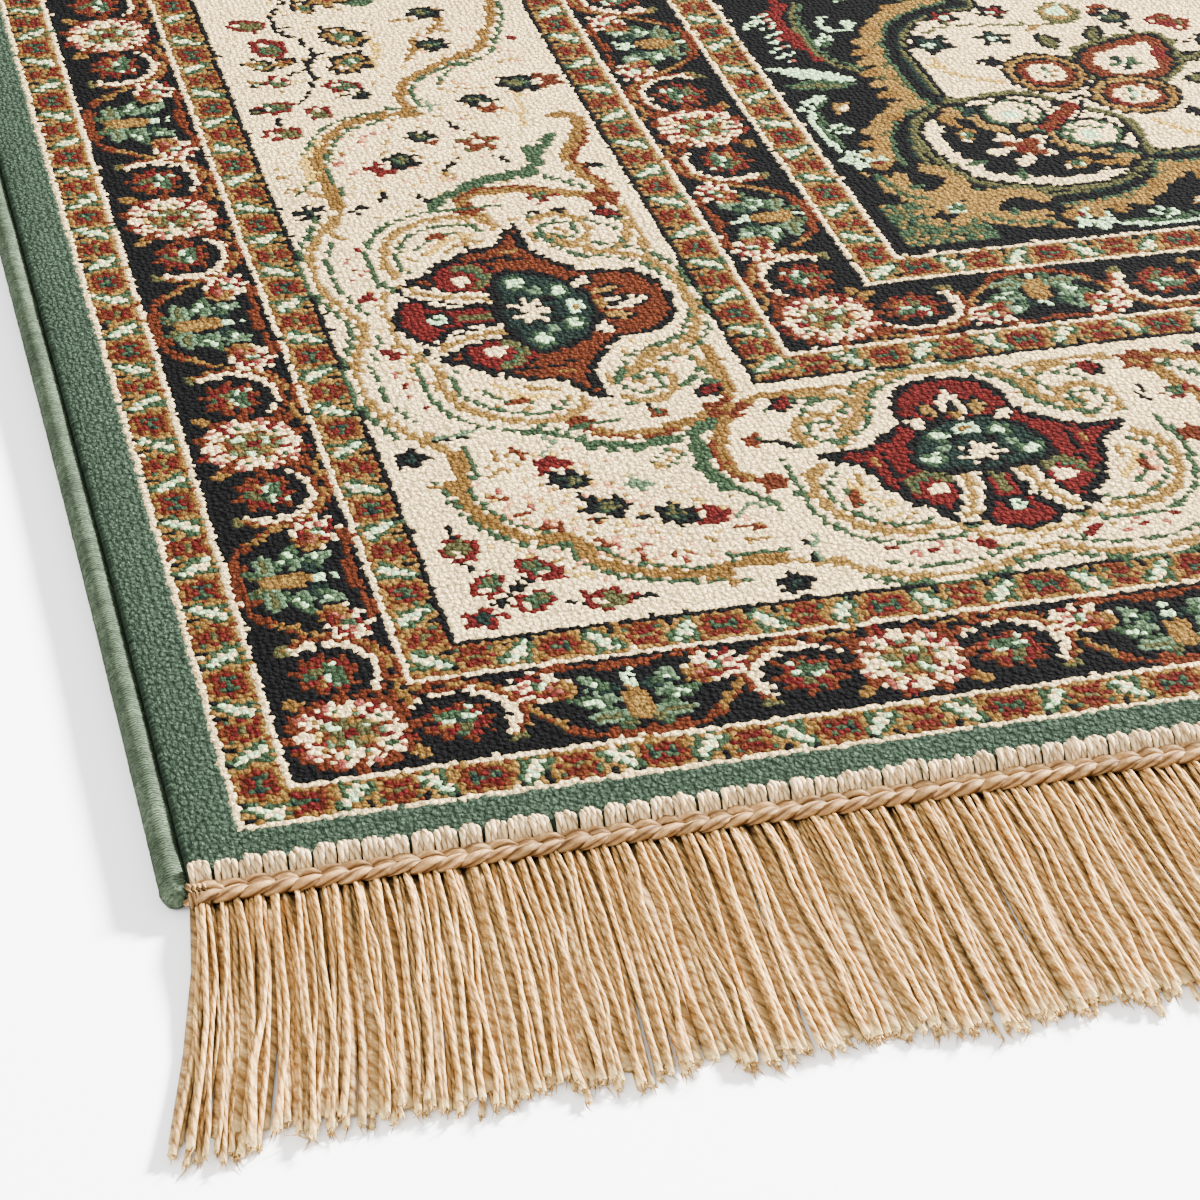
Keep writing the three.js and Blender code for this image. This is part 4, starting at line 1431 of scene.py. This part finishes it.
def backMaterial():
    r = Recipe("wovenBack")
    knots = r.put("ShaderNodeUVMap", uv_map="knots").outputs["UV"]
    gx, gy = r.split(knots)[:2]
    colour = knotColour(r, gx, gy, r.calc("FLOOR", gx), r.calc("FLOOR", gy))
    acrossKnot = r.calc("SINE", r.calc("MULTIPLY", r.calc("FRACT", gx), pi))
    alongKnot = r.calc("SINE", r.calc("MULTIPLY", r.calc("FRACT", gy), pi))
    loop = r.calc("MULTIPLY", r.spread(acrossKnot, 0.0, 0.6, 0.55, 1.0), alongKnot)
    weft = r.spread(alongKnot, 0.28, 0.5, 1.0, 0.0)
    fine = r.noise(r.vector("MULTIPLY", knots, (4.0, 1.2, 1.0)), 1.0, 3.0, 0.6, "2D")
    worn = r.mix(0.30, colour, back["haze"])
    woven = r.mix(r.calc("MULTIPLY", weft, 0.85), worn, back["weft"])
    # Painted shade: each loop is darker towards its edges, where it dips between its neighbours; the fine
    # noise is a random tone
    tone = r.calc("MULTIPLY", r.spread(loop, 0.0, 1.0, 0.62, 1.05), r.spread(fine, 0.3, 0.7, 0.8, 1.15))
    r.feed(r.shader.inputs["Base Color"], r.shade(woven, tone))
    r.feed(r.shader.inputs["Normal"], r.bump(r.calc("MULTIPLY_ADD", fine, 0.3, loop), back["bump"]))
    r.shader.inputs["Roughness"].default_value = 0.9
    r.shader.inputs["Specular IOR Level"].default_value = 0.15
    return r.material


drawRug()
print("the pattern is charted")
pileCloth, pileSlots = makePile(wholeChart())
finishPiece(pileCloth, pileMaterial(), ["rug_cloth"])
pileCloth.data.materials.append(backMaterial())
pileCloth.data.polygons.foreach_set("material_index", pileSlots)
print("pile", triangles(pileCloth))


# Many yarns as one mesh of closed tubes. Each has a path of stations, two half widths at each, and a shade of
# its own. The UV map has the turn round the yarn and the length along it in mm, and the attribute "yarn" has
# its shade and the share of its length.
def yarnsPiece(name, bundles, across):
    points, quads, ends, uvs, endUvs, marks = [], [], [], [], [], []
    first = 0
    across = np.array(across, dtype=float)
    for paths, wide, high, sides, shade in bundles:
        count, stations = paths.shape[:2]
        tangent = np.gradient(paths, axis=1)
        tangent /= np.linalg.norm(tangent, axis=2, keepdims=True)
        side = across - tangent * (tangent @ across)[..., None]
        side /= np.linalg.norm(side, axis=2, keepdims=True)
        normal = np.cross(tangent, side)
        turn = 2 * pi * (np.arange(sides) + 0.5) / sides
        ring = (paths[:, :, None] + wide[..., None, None] * np.cos(turn)[:, None] * side[:, :, None]
                + high[..., None, None] * np.sin(turn)[:, None] * normal[:, :, None])
        ring[..., 2] = np.maximum(ring[..., 2], 0.0)
        points.append(ring.reshape(-1, 3))
        index = first + np.arange(count * stations * sides).reshape(count, stations, sides)
        following = np.roll(index, -1, axis=2)
        quads.append(fours(index[:, :-1], following[:, :-1], following[:, 1:], index[:, 1:]))
        ends.append(np.concatenate([index[:, 0, ::-1], index[:, -1]]))
        first += count * stations * sides
        steps = np.linalg.norm(np.diff(paths, axis=1), axis=2)
        length = np.concatenate([np.zeros((count, 1)), np.cumsum(steps, axis=1)], axis=1) / mm
        start = length[:, :-1, None] + np.zeros(sides)
        stop = length[:, 1:, None] + np.zeros(sides)
        u0 = np.broadcast_to(np.arange(sides) / sides, start.shape)
        u1 = u0 + 1 / sides
        uvs.append(np.stack([np.stack([u0, start], -1), np.stack([u1, start], -1),
                             np.stack([u1, stop], -1), np.stack([u0, stop], -1)], axis=3).reshape(-1, 2))
        around = np.broadcast_to(np.arange(sides) / sides, (count, sides))
        endUvs.append(np.stack([around, np.broadcast_to(length[:, :1], around.shape)], -1).reshape(-1, 2))
        endUvs.append(np.stack([around, np.broadcast_to(length[:, -1:], around.shape)], -1).reshape(-1, 2))
        mark = np.zeros((count, stations, sides, 3))
        mark[..., 0] = shade[:, None, None]
        mark[..., 1] = np.linspace(0, 1, stations)[None, :, None]
        marks.append(mark.reshape(-1, 3))
    faces, faceUvs = [], []
    for n in range(len(bundles)):
        faces += [quads[n], ends[n]]
        faceUvs += [uvs[n], endUvs[2 * n], endUvs[2 * n + 1]]
    piece = meshPiece(name, np.concatenate(points), faces, np.concatenate(faceUvs), "along")
    layer = piece.data.attributes.new("yarn", "FLOAT_VECTOR", "POINT")
    layer.data.foreach_set("vector", np.concatenate(marks).ravel())
    return piece


# Evenly spaced shares from 0 to 1
def even(count):
    return np.arange(count) / (count - 1)


# Side bindings: a cord wrapped round the selvedge with fine yarn
binding = {
    "width": 8.5 * mm,
    "height": 8.6 * mm,
    "sides": 10,
    "press": 0.6 * mm,        # how far the cord presses into the pile's edge
    "pastCloth": 1.6 * mm,
    "wrap": 1.15 * mm,        # from one turn of the yarn to the next
    "relief": 0.055,          # share of the cord's girth lost between two turns
    "slant": 0.9 * mm,        # from the foot of a turn to its top
    "slantFrom": 6 * mm,      # in full this far from the cord's ends
    "closing": ((0, 0.8, 2.2, 4.2), (0.45, 0.74, 0.93, 1)),    # mm from the cord's end, and its girth there
    # The yarn's colour, the painted shade in the grooves between its turns, and its paler fibres, partly a
    # painted highlight
    "colour": (0.0320, 0.0470, 0.0270),
    "shade": (0.0090, 0.0150, 0.0085),
    "fibreHighlight": (0.1500, 0.1900, 0.1250),
}


def makeBinding(side, seed):
    dice = np.random.default_rng(seed)
    end = clothEnd + binding["pastCloth"]
    wraps = int(round(2 * end / binding["wrap"]))
    stations = 2 * wraps + 1
    sides = binding["sides"]
    y = -end + 2 * end * even(stations)
    fromEnd = np.minimum(y + end, end - y)
    swell = np.interp(fromEnd / mm, *binding["closing"])
    ridge = np.where(np.arange(stations) % 2 == 1, 1.0, 1 - binding["relief"])
    ridge = ridge * (1 + 0.012 * dice.standard_normal(stations))
    uneven = 1 + 0.018 * np.sin(y * 61 + seed) + 0.012 * np.sin(y * 143 + 2 * seed)
    centre = side * (halfWidth - binding["press"] + binding["width"] / 2) + drift(y)
    turn = 2 * pi * (np.arange(sides) + 0.5) / sides
    wide = binding["width"] / 2 * swell * ridge
    high = binding["height"] / 2 * swell * ridge * uneven
    ring = np.zeros((stations, sides, 3))
    ring[:, :, 0] = centre[:, None] + wide[:, None] * np.cos(turn)
    slant = binding["slant"] * np.sin(turn) * np.clip(fromEnd / binding["slantFrom"], 0, 1)[:, None]
    ring[:, :, 1] = y[:, None] + slant
    ring[:, :, 2] = np.maximum(0.0, binding["height"] / 2 + high[:, None] * np.sin(turn))
    index = np.arange(stations * sides).reshape(stations, sides)
    following = np.roll(index, -1, axis=1)
    quads = fours(index[:-1], index[1:], following[1:], following[:-1])
    ends = np.stack([index[0], index[-1][::-1]])
    length = np.broadcast_to((y / mm)[:-1, None], (stations - 1, sides))
    later = np.broadcast_to((y / mm)[1:, None], (stations - 1, sides))
    u0 = np.broadcast_to(np.arange(sides) / sides, length.shape)
    u1 = u0 + 1 / sides
    uvs = np.stack([np.stack([u0, length], -1), np.stack([u0, later], -1), np.stack([u1, later], -1),
                    np.stack([u1, length], -1)], axis=2).reshape(-1, 2)
    endUvs = np.concatenate([np.stack([np.arange(sides) / sides, np.full(sides, v)], -1)
                             for v in (-end / mm, end / mm)])
    name = "wrapped_binding_" + ("left" if side < 0 else "right")
    return meshPiece(name, ring.reshape(-1, 3), [quads, ends], np.concatenate([uvs, endUvs]), "along")


def bindingMaterial():
    r = Recipe("wrappingYarn")
    along = r.put("ShaderNodeUVMap", uv_map="along").outputs["UV"]
    v = r.split(along)[1]
    wrap = r.calc("FRACT", r.calc("DIVIDE", v, binding["wrap"] / mm))
    ridge = r.calc("SINE", r.calc("MULTIPLY", wrap, pi))
    place = r.put("ShaderNodeTexCoord").outputs["Object"]
    fibres = r.noise(r.vector("MULTIPLY", place, (900.0, 3200.0, 900.0)), 1.0, 3.0, 0.65)
    patches = r.noise(place, 90.0, 3.0, 0.6)
    number = r.calc("FLOOR", r.calc("DIVIDE", v, 2.4 * binding["wrap"] / mm))
    single = r.put("ShaderNodeTexWhiteNoise", {"W": number}, noise_dimensions="1D").outputs["Value"]
    # Painted shade in the grooves between the turns of the wrapping yarn, then paler fibres mixed in, partly a
    # painted highlight
    colour = r.mix(r.spread(ridge, 0.0, 0.75, 0.0, 1.0), binding["shade"], binding["colour"])
    lighter = r.calc("MULTIPLY", r.spread(fibres, 0.45, 0.75, 0.0, 0.75),
                     r.spread(patches, 0.35, 0.6, 0.5, 1.0))
    colour = r.mix(lighter, colour, binding["fibreHighlight"])
    tone = r.calc("MULTIPLY", r.spread(single, 0.0, 1.0, 0.84, 1.14),
                  r.spread(patches, 0.3, 0.7, 0.85, 1.15))
    r.feed(r.shader.inputs["Base Color"], r.shade(colour, tone))
    r.feed(r.shader.inputs["Normal"], r.bump(r.calc("MULTIPLY_ADD", fibres, 0.5, ridge), 0.25 * mm))
    r.shader.inputs["Roughness"].default_value = 0.85
    r.shader.inputs["Specular IOR Level"].default_value = 0.05
    return r.material


# Yarn of twisted plies: painted shade in the grooves, a painted highlight on the crowns, fibres laid along
# the ply. Its lay is in mm, low is the darkest yarn's tone, and tipLight is how much paler the cut tips are.
def yarnMaterial(name, plies, lay, shadeColour, colour, fibreHighlight,
                 tipLight=0.0, bumpDepth=0.22 * mm, low=0.74, groove=0.05):
    r = Recipe(name)
    along = r.put("ShaderNodeUVMap", uv_map="along").outputs["UV"]
    u, v = r.split(along)[:2]
    mark = r.put("ShaderNodeAttribute", attribute_type="GEOMETRY", attribute_name="yarn")
    single, share = r.split(mark.outputs["Vector"])[:2]
    strand = r.calc("MULTIPLY_ADD", u, plies, r.calc("DIVIDE", v, lay))
    turnShare = r.calc("MULTIPLY_ADD", single, 7.0, strand)
    crown = r.calc("SINE", r.calc("MULTIPLY", r.calc("FRACT", turnShare), pi))
    ply = r.calc("FLOOR", turnShare)
    plyNoise = r.put("ShaderNodeTexWhiteNoise", {"Vector": r.join(ply, single)}, noise_dimensions="2D")
    plyTone = plyNoise.outputs["Value"]
    fibres = r.noise(r.join(r.calc("MULTIPLY", turnShare, 4.5), r.calc("MULTIPLY_ADD", v, 0.55, u),
                            r.calc("MULTIPLY", single, 50.0)), 1.0, 3.0, 0.65)
    patches = r.noise(r.join(r.calc("MULTIPLY", v, 0.10), r.calc("MULTIPLY", single, 40.0)), 1.0, 2.0, 0.5)
    # Painted shade in the grooves between the plies, and a painted highlight of pale fibres on their crowns
    body = r.mix(r.spread(crown, groove, 0.70, 0.0, 1.0), shadeColour, colour)
    pale = r.calc("MULTIPLY", r.spread(fibres, 0.42, 0.72, 0.0, 1.0), r.spread(crown, 0.2, 0.9, 0.1, 1.0))
    pale = r.calc("MULTIPLY", pale, r.spread(patches, 0.35, 0.65, 0.35, 1.0))
    if tipLight:
        pale = r.calc("ADD", pale, r.calc("MULTIPLY", r.spread(share, 0.94, 1.0, 0.0, 1.0), tipLight))
    body = r.mix(r.calc("MINIMUM", pale, 1.0), body, fibreHighlight)
    tone = r.calc("MULTIPLY", r.spread(single, 0.0, 1.0, low, 1.22), r.spread(plyTone, 0.0, 1.0, 0.88, 1.1))
    r.feed(r.shader.inputs["Base Color"], r.shade(body, tone))
    r.feed(r.shader.inputs["Normal"], r.bump(r.calc("MULTIPLY_ADD", fibres, 0.35, crown), bumpDepth))
    r.shader.inputs["Roughness"].default_value = 0.7
    r.shader.inputs["Specular IOR Level"].default_value = 0.1
    return r.material


# Overcast stitches at the ends: groups of cream yarns laid over the pile's edge, behind the braid
stitch = {
    "groups": 240,
    "perGroup": 4,
    "radius": 0.83 * mm,
    "spacing": 1.50 * mm,
    "pastPile": 2.2 * mm,     # where they start
    "forward": (0.0, 0.5, 1.7, 3.4, 5.2, 6.2),     # how far in from there each station lies, in mm
    "height": (4.6, 7.4, 9.1, 9.9, 9.6, 7.9),      # in mm
    "girth": (0.85, 1, 1.05, 1.1, 1.05, 0.6),
    "sides": 5,
    # The yarn's colour, the painted shade in the grooves between its plies, and the painted highlight on their
    # crowns
    "colour": (0.4600, 0.3150, 0.1550),
    "shade": (0.2000, 0.1150, 0.0430),
    "fibreHighlight": (0.8200, 0.6700, 0.4200),
}


def makeStitches(end):
    dice = np.random.default_rng(31 + end)
    groups, per = stitch["groups"], stitch["perGroup"]
    pitch = 2 * halfWidth / groups
    group = np.repeat(np.arange(groups), per)
    place = np.tile(np.arange(per) - (per - 1) / 2, groups)
    count = len(group)
    s = even(len(stitch["forward"]))
    x0 = -halfWidth + (group + 0.5) * pitch + place * stitch["spacing"]
    x0 = x0 + 0.10 * mm * dice.standard_normal(count)
    tall = (1 + 0.07 * dice.standard_normal(groups))[group] - 0.085 * place ** 2
    tall = tall + 0.04 * dice.standard_normal(count)
    groupLean = 0.5 * mm * dice.standard_normal(groups)[group]
    paths = np.zeros((count, len(s), 3))
    drawnIn = -0.22 * place * stitch["spacing"]
    paths[..., 0] = x0[:, None] + drawnIn[:, None] * s ** 3 + groupLean[:, None] * s
    start = halfLength + stitch["pastPile"]
    paths[..., 1] = end * (start - np.array(stitch["forward"]) * mm * tall[:, None])
    paths[..., 2] = np.array(stitch["height"]) * mm * (1 + 0.03 * dice.standard_normal(count))[:, None]
    girth = stitch["radius"] * (1 + 0.06 * dice.standard_normal(count))[:, None] * np.array(stitch["girth"])
    shade = dice.random(count)
    return yarnsPiece("overcast_stitches_" + ("front" if end < 0 else "back"),
                      [(paths, girth, girth * 0.95, stitch["sides"], shade)], (1, 0, 0))


# Heading braid: a chain of stitches in thick soft yarn, each link two legs that close towards +X
braid = {
    "links": 240,
    "centre": 0.9 * mm,       # past the cloth's end
    "legLength": 11.4 * mm,
    "legOut": 1.85 * mm,
    "radius": 1.72 * mm,
    "along": (0.0, 0.12, 0.30, 0.50, 0.70, 0.88, 1.0),     # stations of a leg, each with the next three
    "out": (0.50, 1.0, 1.25, 1.12, 0.74, 0.30, 0.04),
    "rise": (3.7, 4.7, 5.6, 6.15, 6.2, 5.4, 4.3),          # in mm
    "girth": (0.50, 0.84, 1.05, 1.06, 0.88, 0.60, 0.34),
    "sides": 6,
    "turns": 4,               # of the yarn wound round the chain's ends
    "turnPitch": 1.35 * mm,
    "turnRadius": 0.88 * mm,
    # The yarn's colour, the painted shade in the grooves between its plies, and the painted highlight on their
    # crowns
    "colour": (0.2250, 0.1160, 0.0390),
    "shade": (0.0700, 0.0290, 0.0080),
    "fibreHighlight": (0.5200, 0.3450, 0.1560),
}


def makeBraid(end):
    dice = np.random.default_rng(57 + end)
    links = braid["links"]
    pitch = 2 * halfWidth / links
    leg = np.tile((-1, 1), links)
    link = np.repeat(np.arange(links), 2)
    count = len(link)
    # Each leg starts low under the link before, swells outwards and dives into the next link
    s = np.array(braid["along"])
    startX = -halfWidth - 1.6 * mm + link * pitch + 0.22 * mm * dice.standard_normal(links)[link]
    startX = np.minimum(startX, halfWidth - braid["legLength"] * 0.75)
    out = np.array(braid["out"])
    rise = np.array(braid["rise"]) * mm
    thick = np.array(braid["girth"])
    paths = np.zeros((count, len(s), 3))
    paths[..., 0] = startX[:, None] + s * braid["legLength"]
    wobble = 1 + 0.06 * dice.standard_normal(count)
    centre = clothEnd + braid["centre"]
    paths[..., 1] = end * centre + leg[:, None] * out * braid["legOut"] * wobble[:, None]
    paths[..., 2] = rise * (1 + 0.03 * dice.standard_normal(count))[:, None]
    girth = braid["radius"] * thick * (1 + 0.05 * dice.standard_normal(count))[:, None]
    bundles = [(paths, girth, girth * 0.92, braid["sides"], dice.random(count))]
    # The yarn is wound round the first and the last link
    turns = braid["turns"]
    for corner in (-1, 1):
        s = even(9)
        wound = np.zeros((turns, len(s), 3))
        a = radians(-62) + s * radians(300)
        for n in range(turns):
            wound[n, :, 0] = corner * (halfWidth + 0.6 * mm - n * braid["turnPitch"]) + 0.7 * mm * s
            wound[n, :, 1] = end * centre + (3.2 - 0.1 * n) * mm * np.cos(a)
            wound[n, :, 2] = 4.9 * mm + 2.5 * mm * np.sin(a)
        ringGirth = np.full((turns, len(s)), braid["turnRadius"])
        bundles.append((wound, ringGirth, ringGirth, braid["sides"], dice.random(turns)))
    return yarnsPiece("chain_braid_" + ("front" if end < 0 else "back"), bundles, (0.01, 1, 0.02))


# Fringe: groups of two ply yarns that come out under the braid and lie on the floor
fringe = {
    "groups": 240,
    "perGroup": 7,
    "radius": 0.72 * mm,
    "girth": (0.80, 1, 1, 1, 1, 1.02, 1.12, 1.35),
    "sides": 5,
    "underCount": 520,        # thicker soft yarns below, which fill the gaps
    "underRadius": 1.7 * mm,
    "root": 0.1 * mm,         # past the cloth's end
    "reach": 96.0 * mm,
    "stations": (0, 0.07, 0.18, 0.34, 0.52, 0.71, 0.90, 1.0),
    "pinch": 0.62 * mm,       # between two yarns of a group at the root, and further out
    "open": 0.99 * mm,
    "openAt": 0.34,           # share of the length where the group is fully open
    "stack": 3.3 * mm,        # from the lowest yarn of a group to the highest
    "stray": 1.8 * mm,        # how far single yarns and whole groups wander
    "clump": 1.7 * mm,
    "wave": 1.3 * mm,
    "hump": 1.7 * mm,         # how far the yarns rise after the braid
    "splay": 20.0 * mm,       # how far the corner groups lean outwards
    "splayWidth": 70.0 * mm,  # and how far in from there it is felt
    # The yarn's colour, the painted shade in the grooves between its plies, and the painted highlight on their
    # crowns
    "colour": (0.3050, 0.1540, 0.0390),
    "shade": (0.1000, 0.0400, 0.0090),
    "fibreHighlight": (0.8300, 0.6100, 0.2700),
}


# How far a yarn leans along the rug's end: outwards at the corners, to and fro between them
def fringeLean(x, end):
    nearCorner = np.exp((np.abs(x) - halfWidth) / fringe["splayWidth"])
    sway = 2.4 * mm * np.sin(x / (97 * mm) + end) + 1.3 * mm * np.sin(x / (41 * mm) + 2 * end)
    return np.sign(x) * fringe["splay"] * nearCorner + sway * (1 - nearCorner)


def makeFringe(end):
    dice = np.random.default_rng(83 + end)
    groups, per = fringe["groups"], fringe["perGroup"]
    pitch = 2 * halfWidth / groups
    group = np.repeat(np.arange(groups), per)
    place = np.tile(np.arange(per) - (per - 1) / 2, groups)
    count = len(group)
    s = np.array(fringe["stations"])
    centre = -halfWidth + (group + 0.5) * pitch
    order = dice.permuted(np.tile(np.arange(per), (groups, 1)), axis=1).ravel()
    layer = order / (per - 1)
    opened = np.clip(s / fringe["openAt"], 0, 1) ** 0.8
    offset = place[:, None] * (fringe["pinch"] + (fringe["open"] - fringe["pinch"]) * opened)
    stray = fringe["stray"] * dice.standard_normal(count)[:, None] * s ** 1.1
    clump = fringe["clump"] * dice.standard_normal(groups)[group][:, None] * s ** 1.2
    turns = 0.7 + 1.3 * dice.random(count)[:, None]
    waveSize = fringe["wave"] * dice.random(count)[:, None]
    wave = waveSize * np.sin(2 * pi * (s * turns + dice.random(count)[:, None]))
    lean = fringeLean(centre, end)[:, None] * s ** 1.4
    paths = np.zeros((count, len(s), 3))
    paths[..., 0] = centre[:, None] + offset + stray + clump + wave * np.clip(3 * s, 0, 1) + lean
    # A few yarns, and the clump at the photographed corner, hang out further than the rest
    groupReach = 1 + 0.016 * dice.standard_normal(groups)
    groupReach[:3] += 0.035
    reach = fringe["reach"] * (groupReach[group] - 0.045 * dice.random(count) ** 1.5)
    reach = reach + (dice.random(count) < 0.02) * 5 * mm
    root = clothEnd + fringe["root"]
    paths[..., 1] = end * (root + s * reach[:, None])
    rest = fringe["radius"] + layer * fringe["stack"]
    start = (2.4 + 1.7 * layer) * mm
    fall = np.exp(-s / 0.16)
    hump = fringe["hump"] * layer[:, None] * np.sin(pi * np.clip(s / 0.4, 0, 1))
    paths[..., 2] = (rest[:, None] * (1 - fall) + start[:, None] * fall + hump) * (1 - 0.2 * s)
    girth = fringe["radius"] * (1 + 0.14 * dice.standard_normal(count))[:, None] * np.array(fringe["girth"])
    # Painted shade: the lower a yarn lies in its group, the darker it is, besides a random tone of its own
    shade = np.clip(0.22 + 0.60 * layer + 0.22 * dice.standard_normal(count), 0, 1)
    bundles = [(paths, girth, girth, fringe["sides"], shade)]
    # The lower layer, painted darker as shade under the yarns above it
    low = fringe["underCount"]
    x = -halfWidth + (np.arange(low) + 0.5) * 2 * halfWidth / low
    t = np.array((0, 0.3, 0.65, 1.0))
    under = np.zeros((low, len(t), 3))
    lowStray = 0.9 * mm * dice.standard_normal(low)[:, None] * t
    under[..., 0] = x[:, None] + fringeLean(x, end)[:, None] * t ** 1.4 + lowStray
    lowReach = fringe["reach"] * (0.93 + 0.03 * dice.random(low))
    under[..., 1] = end * (root + t * lowReach[:, None])
    under[..., 2] = (np.where(np.arange(low) % 2, 1.0, 1.45) * mm + 0.12 * mm * dice.random(low))[:, None]
    lowGirth = np.full((low, len(t)), fringe["underRadius"]) * np.array((1.1, 1.3, 1.3, 1.1))
    bundles.append((under, lowGirth, lowGirth * 0.45, fringe["sides"], 0.25 * dice.random(low)))
    # Loose fibres at the cut tips
    tip = np.repeat(paths[:, -1], 2, axis=0)
    way = np.repeat(paths[:, -1] - paths[:, -2], 2, axis=0)
    way /= np.linalg.norm(way, axis=1, keepdims=True)
    many = len(tip)
    bent = way + 0.34 * dice.standard_normal((many, 3))
    span = ((1.4 + 2.6 * dice.random(many)) * mm)[:, None]
    hairs = np.stack([tip - 1.0 * mm * way, tip + 0.35 * span * way, tip + span * bent], axis=1)
    hairs += 0.4 * mm * dice.standard_normal((many, 1, 3)) * np.array((1, 0, 0.6))
    hairs[..., 2] = np.maximum(hairs[..., 2], 0.25 * mm)
    hairGirth = np.full((many, 3), 1.0) * np.array((0.34, 0.28, 0.04)) * mm
    bundles.append((hairs, hairGirth, hairGirth, 3, 0.6 + 0.4 * dice.random(many)))
    return yarnsPiece("yarn_fringe_" + ("front" if end < 0 else "back"), bundles, (1, 0, 0))


bindingYarn = bindingMaterial()
for side, name, seed in ((-1, "side_binding_left", 3), (1, "side_binding_right", 8)):
    wrapped = makeBinding(side, seed)
    finishPiece(wrapped, bindingYarn, [name])
    print(wrapped.name, triangles(wrapped))

stitchYarn = yarnMaterial("overcastYarn", 2, 4.2, stitch["shade"], stitch["colour"], stitch["fibreHighlight"])
braidYarn = yarnMaterial("braidYarn", 3, 13.0, braid["shade"], braid["colour"], braid["fibreHighlight"],
                         bumpDepth=0.4 * mm)
fringeYarn = yarnMaterial("fringeYarn", 2, 6.4, fringe["shade"], fringe["colour"], fringe["fibreHighlight"],
                          tipLight=0.5, low=0.60, groove=-0.25)
edgePieces = [bpy.data.objects["wrapped_binding_" + side] for side in ("left", "right")]
for end, name in ((-1, "front"), (1, "back")):
    stitches = makeStitches(end)
    finishPiece(stitches, stitchYarn)
    chain = makeBraid(end)
    finishPiece(chain, braidYarn, ["heading_braid_" + name])
    yarns = makeFringe(end)
    finishPiece(yarns, fringeYarn, ["fringe_" + name])
    edgePieces += [stitches, chain, yarns]
    for piece in (stitches, chain, yarns):
        print(piece.name, triangles(piece))
